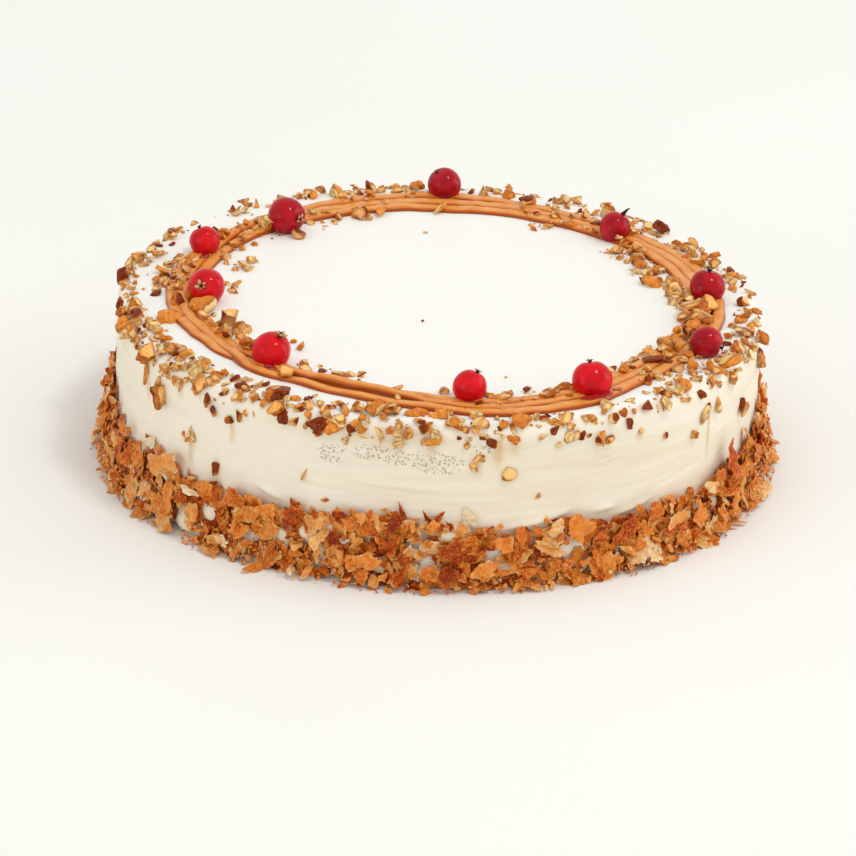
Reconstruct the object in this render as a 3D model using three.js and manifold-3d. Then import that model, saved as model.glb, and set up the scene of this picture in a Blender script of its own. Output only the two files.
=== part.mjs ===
// A round butterscotch cake: a sponge drum coated in whipped cream, a skirt of crushed crisp wafer
// pressed against its foot, a ring of piped caramel on top and ten red currants set along that ring.
// Millimetres, +Z up. The origin is the centre of the flat underside, and -Y is the front.
// Bearings are degrees about +Z, counted from +X towards +Y.
import * as THREE from "three";
import { mergeVertices } from "three/addons/utils/BufferGeometryUtils.js";
import Module from "manifold-3d";

// Driving dimensions.
const CAKE_RADIUS = 102; // of the cream coat
const CAKE_HEIGHT = 52;
const RIM_ROUNDING = 4.5; // where the palette knife turned the side over on to the top
const FOOT_ROUNDING = 1.2;
const CREAM_WAVE = 0.35; // how far the side wanders in and out
const GAP = 0.3; // left between pieces that touch

const SKIRT_THICKNESS = 4; // of the pressed wafer, halfway up
const SKIRT_SPREAD = 2.2; // how much further out the loose crumbs lie at the foot
const SKIRT_ROUGHNESS = 0.8; // how far single flakes stand out of it
const SKIRT_RAGGEDNESS = 1.8; // how far they reach above or below its general height
// Height of the skirt every 30 degrees of bearing, from +X round to the back, the left and the front.
const SKIRT_HEIGHTS = [29, 27, 25, 26, 27, 29, 30, 23, 22, 23, 18, 21];

const STRAND_WIDTH = 4; // one piped thread of caramel, settled flat on the cream
const STRAND_HEIGHT = 1.8;
// Distance of the caramel ring's middle from the axis, every 30 degrees of bearing.
const RING_DISTANCES = [84, 83, 82, 84, 82, 81, 81, 80.5, 81, 86.5, 89, 84];
// Each thread's way round: its offset from the ring's middle, then how far, how often and from where it
// weaves.
const STRANDS = [
  { offset: 3.7, sway: 0.8, turns: 3, start: 2.2 },
  { offset: 0, sway: 1.2, turns: 2, start: 0.6 },
  { offset: -3.7, sway: 0.8, turns: 3, start: 5.1 },
];

// Red currants: bearing and distance of the centre, diameter, how deep each was pressed into the cream, and
// where the dried flower points.
const CURRANTS = [
  { bearing: 89.7, distance: 91.7, diameter: 11.3, pressed: 1.6, lean: 32, heading: 191 },
  { bearing: 133.3, distance: 74.3, diameter: 12.2, pressed: 1, lean: 85, heading: 318 },
  { bearing: 158, distance: 82.3, diameter: 9.9, pressed: 0.6, lean: 25, heading: 152 },
  { bearing: 187.3, distance: 73.6, diameter: 11.4, pressed: 1, lean: 69, heading: 255 },
  { bearing: 229.3, distance: 77.1, diameter: 12, pressed: 2.2, lean: 25, heading: 353 },
  { bearing: 276.9, distance: 82.5, diameter: 10.4, pressed: 1, lean: 27, heading: 22 },
  { bearing: 302.4, distance: 86.8, diameter: 12.1, pressed: 2.2, lean: 18, heading: 120 },
  { bearing: 333.9, distance: 91.7, diameter: 10.2, pressed: 1.2, lean: 103, heading: 343 },
  { bearing: 3.5, distance: 84.9, diameter: 11.5, pressed: 1.6, lean: 10, heading: 60 },
  { bearing: 44.6, distance: 80, diameter: 10.4, pressed: 1, lean: 30, heading: 18 },
];
const FLOWER_RADIUS = 0.12; // of the dried flower at a currant's end, as a share of the diameter
const FLOWER_LENGTH = 0.1;

// Fineness of the facets.
const CAKE_STEPS = 80;
const SKIRT_STEPS = 104;
const STRAND_STEPS = 62;
const STRAND_SIDES = 6;
const CURRANT_STEPS = 12;
const CURRANT_ARCS = 8;
const ROUNDING_STEPS = 4;

const radians = THREE.MathUtils.degToRad;
const wasm = await Module();
wasm.setup();

/** A value known every 30 degrees of bearing, joined smoothly round the circle. */
function roundTheCake(values, angle) {
  const turn = (angle / (2 * Math.PI) + 2) % 1;
  const place = turn * values.length;
  const here = Math.floor(place);
  const at = (i) => values[(here + i + values.length) % values.length];
  const share = place - here;
  const slopeHere = (at(1) - at(-1)) / 2;
  const slopeNext = (at(2) - at(0)) / 2;
  const rise = at(1) - at(0);
  const cubed = slopeHere + slopeNext - 2 * rise;
  const squared = 3 * rise - 2 * slopeHere - slopeNext;
  return at(0) + share * (slopeHere + share * (squared + share * cubed));
}

/** A smooth unevenness between -1 and 1 that closes on itself round the cake. */
function unevenness(angle, height, seed) {
  return (
    0.5 * Math.sin(5 * angle + seed + 0.06 * height) +
    0.3 * Math.sin(11 * angle + 2.3 * seed - 0.11 * height) +
    0.2 * Math.sin(23 * angle + 4.1 * seed + 0.21 * height)
  );
}

/** A repeatable random amount between -1 and 1 for one bearing and level. */
function grain(angle, level) {
  const scattered = 4375.85 * Math.sin(12.9898 * Math.cos(angle) + 78.233 * Math.sin(angle) + 37.719 * level);
  return 2 * (scattered - Math.floor(scattered)) - 1;
}

/** Points of a quarter turn from one corner direction to the next, about a centre in the profile's plane. */
function quarter(centreX, centreY, radius, startDegrees) {
  return Array.from({ length: ROUNDING_STEPS + 1 }, (_, i) => {
    const angle = radians(startDegrees + (90 * i) / ROUNDING_STEPS);
    return new THREE.Vector2(centreX + radius * Math.cos(angle), centreY + radius * Math.sin(angle));
  });
}

/** Turns a profile about the Z axis, then moves each point by a rule of its bearing, distance and height. */
function turned(profile, steps, rule = null) {
  const geometry = new THREE.LatheGeometry(profile, steps).rotateX(Math.PI / 2);
  const points = geometry.attributes.position;
  for (let i = 0; rule && i < points.count; i++) {
    const angle = Math.atan2(points.getY(i), points.getX(i));
    const [distance, height] = rule(angle, Math.hypot(points.getX(i), points.getY(i)), points.getZ(i));
    points.setXYZ(i, distance * Math.cos(angle), distance * Math.sin(angle), height);
  }
  return geometry;
}

/** The same surface as a manifold-3d solid. */
function solidOf(geometry) {
  const bare = geometry.clone();
  bare.deleteAttribute("normal");
  bare.deleteAttribute("uv");
  const merged = mergeVertices(bare, 1e-3);
  return new wasm.Manifold(
    new wasm.Mesh({
      numProp: 3,
      vertProperties: merged.attributes.position.array,
      triVerts: new Uint32Array(merged.index.array),
    }),
  );
}

/** A manifold-3d solid as a three.js geometry. */
function geometryOf(solid) {
  const mesh = solid.getMesh();
  const geometry = new THREE.BufferGeometry();
  geometry.setAttribute("position", new THREE.BufferAttribute(mesh.vertProperties, 3));
  geometry.setIndex(new THREE.BufferAttribute(mesh.triVerts, 1));
  geometry.computeVertexNormals();
  return geometry;
}

function creamMaterial() {
  return new THREE.MeshStandardMaterial({ color: 0xf4eedf, roughness: 0.55, metalness: 0 });
}

function waferMaterial() {
  return new THREE.MeshStandardMaterial({ color: 0xc07838, roughness: 0.75, metalness: 0 });
}

function caramelMaterial() {
  return new THREE.MeshStandardMaterial({ color: 0xc5854a, roughness: 0.3, metalness: 0 });
}

function currantMaterial() {
  return new THREE.MeshStandardMaterial({ color: 0xb0101f, roughness: 0.15, metalness: 0 });
}

/** Where a currant's centre is once it has been pressed into the cream. */
function currantCentre({ bearing, distance, diameter, pressed }) {
  const angle = radians(bearing);
  const height = CAKE_HEIGHT + diameter / 2 - pressed;
  return new THREE.Vector3(distance * Math.cos(angle), distance * Math.sin(angle), height);
}

/** What is left of a solid that stands on the given height once the currants have pressed their beds. */
function bedded(solid, floor = 0) {
  return CURRANTS.reduce((left, currant) => {
    const bed = new THREE.SphereGeometry(currant.diameter / 2 + 2 * GAP, CURRANT_STEPS, CURRANT_ARCS);
    const { x, y, z } = currantCentre(currant);
    bed.translate(x, y, z - floor);
    return left.subtract(solidOf(bed));
  }, solid);
}

/** The cake itself: an uncut drum with a softly rounded rim and a side that wanders a little. */
function makeCake() {
  const sideTop = CAKE_HEIGHT - RIM_ROUNDING;
  const sideRows = [0.25, 0.5, 0.75].map(
    (share) => new THREE.Vector2(CAKE_RADIUS, THREE.MathUtils.lerp(FOOT_ROUNDING, sideTop, share)),
  );
  const profile = [
    new THREE.Vector2(0, 0),
    ...quarter(CAKE_RADIUS - FOOT_ROUNDING, FOOT_ROUNDING, FOOT_ROUNDING, -90),
    ...sideRows,
    ...quarter(CAKE_RADIUS - RIM_ROUNDING, sideTop, RIM_ROUNDING, 0),
    new THREE.Vector2(0, CAKE_HEIGHT),
  ];
  const wander = (angle, distance, height) => {
    const onTheSide = THREE.MathUtils.smoothstep(distance, CAKE_RADIUS - RIM_ROUNDING, CAKE_RADIUS);
    return [distance + onTheSide * CREAM_WAVE * unevenness(angle, height, 1), height];
  };
  const drum = bedded(solidOf(turned(profile, CAKE_STEPS, wander)));
  const mesh = new THREE.Mesh(geometryOf(drum), creamMaterial());
  mesh.name = "cream_cake";
  return mesh;
}

/** The skirt of crushed wafer: a ring against the foot of the cake with a ragged top and face. */
function makeSkirt() {
  const inner = CAKE_RADIUS + CREAM_WAVE + GAP;
  const outer = inner + SKIRT_THICKNESS;
  // The profile is drawn one unit high, and each bearing's own height scales it.
  const profile = [
    new THREE.Vector2(inner, 0),
    new THREE.Vector2(outer + SKIRT_SPREAD, 0),
    new THREE.Vector2(outer + 0.7 * SKIRT_SPREAD, 0.16),
    new THREE.Vector2(outer + 0.2 * SKIRT_SPREAD, 0.42),
    new THREE.Vector2(outer - 0.2 * SKIRT_THICKNESS, 0.7),
    new THREE.Vector2(outer - 0.45 * SKIRT_THICKNESS, 0.93),
    new THREE.Vector2(inner, 1),
    new THREE.Vector2(inner, 0),
  ];
  const ragged = (angle, distance, share) => {
    const crest = roundTheCake(SKIRT_HEIGHTS, angle) + SKIRT_RAGGEDNESS * grain(angle, 1);
    const standsOut = distance > inner + GAP ? SKIRT_ROUGHNESS * grain(angle, distance) : 0;
    return [distance + standsOut, share * crest];
  };
  const mesh = new THREE.Mesh(turned(profile, SKIRT_STEPS, ragged), waferMaterial());
  mesh.name = "wafer_skirt";
  return mesh;
}

/** One thread of the ring: a flat-bottomed tube that weaves round the cake and closes on itself. */
function makeStrand({ offset, sway, turns, start }) {
  const geometry = new THREE.TorusGeometry(CAKE_RADIUS, 1, STRAND_SIDES, STRAND_STEPS);
  const points = geometry.attributes.position;
  for (let i = 0; i < points.count; i++) {
    const angle = Math.atan2(points.getY(i), points.getX(i));
    const across = Math.hypot(points.getX(i), points.getY(i)) - CAKE_RADIUS;
    const middle = roundTheCake(RING_DISTANCES, angle) + offset + sway * Math.sin(turns * angle + start);
    const distance = middle + (across * STRAND_WIDTH) / 2;
    const height = ((points.getZ(i) + 1) * STRAND_HEIGHT) / 2;
    points.setXYZ(i, distance * Math.cos(angle), distance * Math.sin(angle), height);
  }
  return solidOf(geometry);
}

/** The caramel ring: its threads run into each other and round the currants. */
function makeCaramelRing() {
  const ring = STRANDS.map(makeStrand).reduce((whole, strand) => whole.add(strand));
  const floor = CAKE_HEIGHT + GAP;
  const mesh = new THREE.Mesh(geometryOf(bedded(ring, floor)), caramelMaterial());
  mesh.position.z = floor;
  mesh.name = "caramel_ring";
  return mesh;
}

/** One currant: a round berry that ends in the stub of its dried flower. */
function makeCurrant(currant, index) {
  const radius = currant.diameter / 2;
  const flowerRadius = FLOWER_RADIUS * currant.diameter;
  const shoulder = Math.acos(flowerRadius / radius) - Math.PI / 2;
  const skin = Array.from({ length: CURRANT_ARCS }, (_, i) => {
    const angle = THREE.MathUtils.lerp(-Math.PI / 2, Math.PI / 2 + shoulder, i / (CURRANT_ARCS - 1));
    return new THREE.Vector2(i ? radius * Math.cos(angle) : 0, radius * Math.sin(angle));
  });
  const tip = radius + FLOWER_LENGTH * currant.diameter;
  const profile = [...skin, new THREE.Vector2(0.8 * flowerRadius, tip), new THREE.Vector2(0, tip)];
  const mesh = new THREE.Mesh(turned(profile, CURRANT_STEPS), currantMaterial());
  mesh.position.copy(currantCentre(currant));
  mesh.rotation.set(0, radians(currant.lean), radians(currant.heading), "ZYX");
  mesh.name = `currant_${String(index + 1).padStart(2, "0")}`;
  return mesh;
}

const cake = new THREE.Group();
cake.add(makeCake(), makeSkirt(), makeCaramelRing(), ...CURRANTS.map(makeCurrant));

export default cake;
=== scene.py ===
"""The looks of an uncut butterscotch cake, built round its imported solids.

Everything is in metres in the cake's own frame: the origin is the centre of the underside, +Z is up and
-Y is the front. A bearing is in degrees about +Z, counted from +X (the right) towards +Y (the back).
"""

import json
import logging
import math
from dataclasses import dataclass
from enum import Enum
from typing import Any, Sequence

import bmesh
import bpy
import numpy as np
from mathutils import Matrix, Vector


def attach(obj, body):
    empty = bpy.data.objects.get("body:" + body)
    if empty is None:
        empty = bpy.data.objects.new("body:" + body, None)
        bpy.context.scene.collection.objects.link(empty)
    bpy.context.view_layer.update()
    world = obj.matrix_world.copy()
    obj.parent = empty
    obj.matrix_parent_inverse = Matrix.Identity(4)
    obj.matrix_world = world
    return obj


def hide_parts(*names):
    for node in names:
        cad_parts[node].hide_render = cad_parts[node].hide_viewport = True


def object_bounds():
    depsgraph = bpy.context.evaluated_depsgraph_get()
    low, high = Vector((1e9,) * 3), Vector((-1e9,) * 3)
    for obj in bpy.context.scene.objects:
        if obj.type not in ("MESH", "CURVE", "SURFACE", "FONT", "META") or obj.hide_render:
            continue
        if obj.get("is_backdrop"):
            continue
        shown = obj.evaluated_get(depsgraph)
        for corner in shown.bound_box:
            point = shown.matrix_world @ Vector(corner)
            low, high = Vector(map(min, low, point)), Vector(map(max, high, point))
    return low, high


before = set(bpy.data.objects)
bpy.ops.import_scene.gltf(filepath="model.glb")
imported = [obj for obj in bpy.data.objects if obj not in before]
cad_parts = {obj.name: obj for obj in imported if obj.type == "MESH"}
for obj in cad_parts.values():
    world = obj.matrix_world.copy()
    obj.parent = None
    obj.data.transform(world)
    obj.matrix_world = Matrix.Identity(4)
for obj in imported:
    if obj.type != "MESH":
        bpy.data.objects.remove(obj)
CAD_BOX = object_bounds()

LOG = logging.getLogger("butterscotch_cake")
MM = 0.001
CAKE_RADIUS = 102.0  # of the cream, in millimetres
CAKE_TOP = 52.0  # millimetres above the foot
BODY = "root"
SENSOR_WIDTH = 36.0


# --- Shared tools ---------------------------------------------------------------------


def linear(hex_colour: str) -> tuple[float, float, float, float]:
    """Turns an sRGB colour into the linear one that a shader takes, by the curve that defines sRGB.

    Args:
        hex_colour: Six hex digits, with or without a leading hash.

    Returns:
        Red, green, blue and an alpha of 1.
    """
    digits = hex_colour.lstrip("#")
    channels = [int(digits[i : i + 2], 16) / 255 for i in (0, 2, 4)]
    curved = [c / 12.92 if c <= 0.04045 else ((c + 0.055) / 1.055) ** 2.4 for c in channels]
    return curved[0], curved[1], curved[2], 1.0


def fill_ramp(ramp: bpy.types.ColorRamp, stops: Sequence[tuple[float, str]]) -> None:
    """Sets the stops of a colour ramp: places from 0 to 1 and their sRGB colours."""
    while len(ramp.elements) < len(stops):
        ramp.elements.new(0.5)
    for element, (place, colour) in zip(ramp.elements, stops):
        element.position = place
        element.color = linear(colour)


def main_output(node: bpy.types.Node) -> bpy.types.NodeSocket:
    """The output that carries a node's result: the third one of a mix of colours or of an attribute."""
    return node.outputs[2 if node.bl_idname in ("ShaderNodeMix", "ShaderNodeAttribute") else 0]


class Recipe:
    """A material that is being made: its node tree, its main shader and where on the cake each spot is."""

    def __init__(self, name: str) -> None:
        """Starts a material that has only its main shader."""
        self.material = bpy.data.materials.new(name)
        self.material.use_nodes = True
        self.tree = self.material.node_tree
        self.tree.nodes.clear()
        self.shader = self.add("BsdfPrincipled")
        self.add("OutputMaterial", links={"Surface": self.shader})
        self.where = self.add("TexCoord").outputs["Object"]

    def add(
        self,
        kind: str,
        settings: dict[str | int, Any] | None = None,
        links: dict[str | int, bpy.types.Node | bpy.types.NodeSocket] | None = None,
    ) -> bpy.types.Node:
        """Adds one shader node.

        Args:
            kind: Blender's name for the kind of node, without the words ShaderNode in front. A texture is
                drawn in the cake's own frame where nothing else feeds its place.
            settings: What to set, by name: an attribute of the node or, failing that, an input's value.
            links: What feeds the inputs, by name or place: a socket, or a node for its main output.

        Returns:
            The new node.
        """
        node = self.tree.nodes.new("ShaderNode" + kind)
        for name, value in (settings or {}).items():
            if name == "stops":
                fill_ramp(node.color_ramp, value)
            elif isinstance(name, int) or not hasattr(node, name):
                node.inputs[name].default_value = value
            else:
                setattr(node, name, value)
        if kind in ("TexNoise", "TexVoronoi"):
            links = {"Vector": self.where} | (links or {})
        for name, source in (links or {}).items():
            socket = main_output(source) if isinstance(source, bpy.types.Node) else source
            self.tree.links.new(socket, node.inputs[name])
        return node

    def finish(
        self, colour: bpy.types.Node, normal: bpy.types.Node, gloss: bpy.types.Node, flat: dict[str, Any]
    ) -> bpy.types.Material:
        """Feeds the main shader.

        Args:
            colour: Its colour.
            normal: Its relief.
            gloss: Its roughness.
            flat: The values that are the same all over, by socket.

        Returns:
            The finished material.
        """
        for name, source in {"Base Color": colour, "Normal": normal, "Roughness": gloss}.items():
            self.tree.links.new(main_output(source), self.shader.inputs[name])
        for name, number in flat.items():
            self.shader.inputs[name].default_value = number
        return self.material


def rows_of(kind: type, *rows: tuple[Any, ...]) -> tuple[Any, ...]:
    """Makes one thing of a kind from each row of its values."""
    return tuple(kind(*row) for row in rows)


def around(values: Sequence[float], bearings: np.ndarray) -> np.ndarray:
    """Joins values known at equal steps of bearing smoothly round the circle.

    Args:
        values: The value at bearing 0 and at each step after it.
        bearings: Where to read it, in degrees.

    Returns:
        The value at each of those bearings.
    """
    table = np.asarray(values, float)
    count = len(table)
    place = (np.asarray(bearings, float) % 360) / 360 * count
    here = np.floor(place).astype(int)
    share = place - here
    before, first, second, after = (table[(here + step) % count] for step in (-1, 0, 1, 2))
    slope_first = (first - before + second - first) / 2
    slope_second = (after - first) / 2
    rise = second - first
    cubic = slope_first + slope_second - 2 * rise
    return first + share * (
        slope_first + share * (3 * rise - 2 * slope_first - slope_second + share * cubic)
    )


def apart(bearings: np.ndarray, bearing: float) -> np.ndarray:
    """The signed angle in degrees, from -180 to 180, from one bearing to each of many."""
    return (np.asarray(bearings, float) - bearing + 180) % 360 - 180


def smoothstep(low: float, high: float, values: np.ndarray) -> np.ndarray:
    """A soft switch from 0 at low to 1 at high."""
    share = np.clip((np.asarray(values, float) - low) / (high - low), 0, 1)
    return share * share * (3 - 2 * share)


def on_circle(bearings: np.ndarray, distances: np.ndarray, heights: np.ndarray) -> np.ndarray:
    """Turns bearings in degrees, distances from the axis and heights into points."""
    angles = np.radians(bearings)
    return np.stack([distances * np.cos(angles), distances * np.sin(angles), heights + 0 * angles], -1)


def full_turn(count: int) -> np.ndarray:
    """Angles in radians that share the whole circle out evenly."""
    return np.linspace(0, 2 * math.pi, count, endpoint=False)


def band_faces(rows: int, columns: int, first: int = 0) -> np.ndarray:
    """Quads of a grid of points whose rows close on themselves.

    Args:
        rows: How many rows there are.
        columns: How many points are in each row.
        first: The index of the first point.

    Returns:
        One row of four indices for each quad.
    """
    row, column = np.meshgrid(np.arange(rows - 1), np.arange(columns), indexing="ij")
    here = first + row * columns + column
    beside = first + row * columns + (column + 1) % columns
    return np.stack([here, beside, beside + columns, here + columns], -1).reshape(-1, 4)


def fan_faces(centre: int, start: int, columns: int, turned: bool = False) -> np.ndarray:
    """Triangles from one point to a closed row of points, the other way round if turned."""
    column = np.arange(columns)
    here, beside = start + column, start + (column + 1) % columns
    middle = np.full(columns, centre)
    return np.stack([middle, beside, here] if turned else [middle, here, beside], -1)


def closed_tube(rows: int, columns: int) -> list[np.ndarray]:
    """Faces of a grid of closed rows and of one point at each end, which follow the grid's own points."""
    size = rows * columns
    ends = [fan_faces(size, 0, columns, turned=True), fan_faces(size + 1, size - columns, columns)]
    return [band_faces(rows, columns)] + ends


class Waviness:
    """A smooth random field made of plane waves, the same on every run."""

    spread = (0.7, 1.5)  # the shortest and the longest wave, as shares of the usual one

    def __init__(self, seed: int, wavelength: float, waves: int = 24) -> None:
        """Draws the waves.

        Args:
            seed: Which field it is.
            wavelength: The usual distance from crest to crest, in the points' own unit.
            waves: How many plane waves it adds up.
        """
        rng = np.random.default_rng(seed)
        directions = rng.normal(size=(waves, 3))
        directions /= np.linalg.norm(directions, axis=1, keepdims=True)
        lengths = wavelength * rng.uniform(*self.spread, (waves, 1))
        self.frequencies = (2 * math.pi * directions / lengths).T
        self.phases = rng.uniform(0, 2 * math.pi, waves)
        self.strength = math.sqrt(2 / waves)

    def at(self, points: np.ndarray) -> np.ndarray:
        """The field at each point, mostly between -2 and 2."""
        return self.strength * np.cos(points @ self.frequencies + self.phases).sum(axis=-1)


def frames_on(normals: np.ndarray, spins: np.ndarray) -> np.ndarray:
    """Frames whose third axis is a given normal.

    Args:
        normals: One unit vector for each frame.
        spins: How far each frame is turned about its normal, in radians.

    Returns:
        One 3 by 3 matrix for each frame, with its axes in the columns.
    """
    up = np.tile([0.0, 0.0, 1.0], (len(normals), 1))
    nearly_upright = 0.95  # above this a normal is too near the world's up to cross with it
    flat = np.abs(normals[:, 2]) > nearly_upright
    up[flat] = [0.0, 1.0, 0.0]
    first = np.cross(up, normals)
    first /= np.linalg.norm(first, axis=1, keepdims=True)
    second = np.cross(normals, first)
    along = np.cos(spins)[:, None] * first + np.sin(spins)[:, None] * second
    return np.stack([along, np.cross(normals, along), normals], -1)


def make_piece(
    name: str,
    points: np.ndarray,
    faces: Sequence[np.ndarray],
    material: bpy.types.Material,
    values: dict[str, np.ndarray] | None = None,
    sharp_above: float | None = None,
) -> bpy.types.Object:
    """Makes a mesh piece that rides on the cake.

    Args:
        name: The piece's name.
        points: Its points, in metres.
        faces: Arrays of point indices, one row for each face.
        material: Its material.
        values: Numbers for each point that the material reads, by name.
        sharp_above: The angle in degrees above which an edge is sharp. All edges are soft without it.

    Returns:
        The new object.
    """
    mesh = bpy.data.meshes.new(name)
    polygons = [row for block in faces for row in block.tolist()]
    mesh.from_pydata(points.tolist(), [], polygons)
    for value_name, numbers in (values or {}).items():
        attribute = mesh.attributes.new(value_name, "FLOAT", "POINT")
        attribute.data.foreach_set("value", np.asarray(numbers, np.float32))
    mesh.polygons.foreach_set("use_smooth", np.ones(len(mesh.polygons), bool))
    if sharp_above is not None:
        mesh.set_sharp_from_angle(angle=math.radians(sharp_above))
    mesh.materials.append(material)
    mesh.update()
    piece = bpy.data.objects.new(name, mesh)
    bpy.context.scene.collection.objects.link(piece)
    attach(piece, BODY)
    LOG.info("%s: %d points, %d faces", name, len(mesh.vertices), len(mesh.polygons))
    return piece


class Gathering:
    """Meshes that are gathered to become one piece."""

    def __init__(self) -> None:
        """Starts with nothing."""
        self.points: list[np.ndarray] = []
        self.faces: list[np.ndarray] = []
        self.values: dict[str, list[np.ndarray]] = {}
        self.size = 0

    def add(self, points: np.ndarray, faces: Sequence[np.ndarray], values: dict[str, np.ndarray]) -> None:
        """Adds one mesh: its points in millimetres, its faces, and its points' values by name."""
        self.points.append(points)
        self.faces += [block + self.size for block in faces]
        self.size += len(points)
        for name, numbers in values.items():
            self.values.setdefault(name, []).append(numbers)

    def build(
        self, name: str, material: bpy.types.Material, slot: str, sharp_above: float | None = None
    ) -> bpy.types.Object:
        """Joins the meshes into one piece."""
        values = {key: np.concatenate(numbers) for key, numbers in self.values.items()}
        points = np.vstack(self.points) * MM
        return make_piece(name, points, self.faces, material, values, sharp_above)


class Slot(str, Enum):
    """Names of material slots, which the builders are given but do not use."""

    CREAM = "whipped_cream"
    WAFER = "crushed_wafer"
    CARAMEL = "caramel"
    CURRANT = "red_currant"


# --- Finishes -------------------------------------------------------------------------


@dataclass(frozen=True)
class WhippedCream:
    """Sweetened whipped cream, drawn smooth with a palette knife on a turntable.

    To the eye it is a milky white, with soft edges to its shadows, a satin surface and faint strokes that
    run round the cake. Its side is painted darker and warmer than its top, as painted shade.
    """

    top: str = "#F6F5EE"
    # The side's colours are painted shade: the side is drawn darker and warmer than the top.
    side: str = "#F3EAD8"
    shaded_side_deep: str = "#EADEC6"
    # The stain colour also paints one shadow under a nut on the side.
    syrup_and_shadow: str = "#CFA45A"
    # The pits' colour is painted shade in the bubble holes.
    shaded_pit: str = "#BFB295"
    tint_size: float = 9 * MM
    stroke_size: float = 2.2 * MM  # between the marks of the palette knife
    stroke_stretch: float = 0.09  # how much slower they change along the stroke
    stain_and_shade_size: float = 1.6 * MM
    froth_size: float = 0.85 * MM  # between air bubbles, drawn a little coarser than they are
    froth_cloud_size: float = 2.2 * MM
    grain_size: float = 0.5 * MM

    def material(self) -> bpy.types.Material:
        """Makes the material, which reads the values wall, syrup and froth."""
        mix = Recipe("Whipped_cream_spread_with_a_palette_knife")
        # Strokes run round the side and round the top alike: they change with height and with distance
        # from the axis, and only slowly along the way round.
        parts = mix.add("SeparateXYZ", links={0: mix.where})
        flat = mix.add("CombineXYZ", links={"X": parts.outputs["X"], "Y": parts.outputs["Y"]})
        distance = mix.add("VectorMath", {"operation": "LENGTH"}, {0: flat}).outputs["Value"]
        level = mix.add("Math", {"operation": "SUBTRACT"}, {0: parts.outputs["Z"], 1: distance})
        slow = mix.add("VectorMath", {"operation": "SCALE", "Scale": self.stroke_stretch}, {0: flat})
        slow_parts = mix.add("SeparateXYZ", links={0: slow})
        drawn = mix.add("CombineXYZ", links={0: slow_parts.outputs[0], 1: slow_parts.outputs[1], 2: level})
        strokes = mix.add(
            "TexNoise", {"Scale": 1 / self.stroke_size, "Detail": 5.0, "Roughness": 0.6}, {"Vector": drawn}
        )
        streaks = mix.add(
            "TexNoise", {"Scale": 1 / self.tint_size, "Detail": 4.0, "Roughness": 0.55}, {"Vector": drawn}
        )
        # Painted shade: the side gets darker, warmer colours than the top.
        side = mix.add("ValToRGB", {"stops": [(0.36, self.shaded_side_deep), (0.62, self.side)]}, {0: streaks})
        shaded_wall = mix.add("Attribute", {"attribute_name": "shaded_wall"})
        base = mix.add("Mix", {"data_type": "RGBA", 6: linear(self.top)}, {0: shaded_wall, 7: side})

        # Syrup has soaked in below the nuts, more in some spots than in others. One run is painted shadow
        # under a nut instead.
        syrup_and_shadow = mix.add("Attribute", {"attribute_name": "syrup_and_shadow"})
        patchy = mix.add(
            "MapRange",
            {"To Min": 0.2, "To Max": 1.5, "clamp": False},
            {0: mix.add("TexNoise", {"Scale": 1 / self.stain_and_shade_size, "Detail": 4.0})},
        )
        wet = mix.add("Math", {"operation": "MULTIPLY"}, {0: syrup_and_shadow, 1: patchy})
        stained_and_shaded = mix.add("Mix", {"data_type": "RGBA", 7: linear(self.syrup_and_shadow)}, {0: wet, 6: base})

        # Air bubbles left open where the knife dragged. Each pit is sunk by a bump and painted darker, as
        # painted shade.
        froth = mix.add("Attribute", {"attribute_name": "froth"})
        some = mix.add(
            "MapRange",
            {"To Min": 0.3, "To Max": 0.8, "clamp": False},
            {0: mix.add("TexNoise", {"Scale": 1 / self.froth_cloud_size})},
        )
        size = mix.add("Math", {"operation": "MULTIPLY"}, {0: froth, 1: some})
        cells = mix.add("TexVoronoi", {"Scale": 1 / self.froth_size})
        shape = {"interpolation_type": "SMOOTHSTEP", "To Min": 1.0, "To Max": 0.0}
        shaded_pit = mix.add("MapRange", shape, {"Value": cells, "From Max": size})
        colour = mix.add("Mix", {"data_type": "RGBA", 7: linear(self.shaded_pit)}, {0: shaded_pit, 6: stained_and_shaded})
        sunk = mix.add("Math", {"operation": "MULTIPLY", 1: -1.0}, {0: shaded_pit})

        grain = mix.add("TexNoise", {"Scale": 1 / self.grain_size, "Detail": 3.0})
        normal = mix.add("Bump", {"Strength": 0.2, "Distance": 0.3 * MM}, {"Height": strokes})
        normal = mix.add(
            "Bump", {"Strength": 0.12, "Distance": 0.1 * MM}, {"Height": grain, "Normal": normal}
        )
        normal = mix.add(
            "Bump", {"Strength": 0.9, "Distance": 0.5 * MM}, {"Height": sunk, "Normal": normal}
        )
        gloss = mix.add("MapRange", {"To Min": 0.42, "To Max": 0.6, "clamp": False}, {0: strokes})
        flat_values = {
            "IOR": 1.45,
            "Specular IOR Level": 0.3,
            "Subsurface Weight": 0.35,
            "Subsurface Radius": (1.0, 0.82, 0.6),
            "Subsurface Scale": 2.0 * MM,
        }
        return mix.finish(colour, normal, gloss, flat_values)


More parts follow.
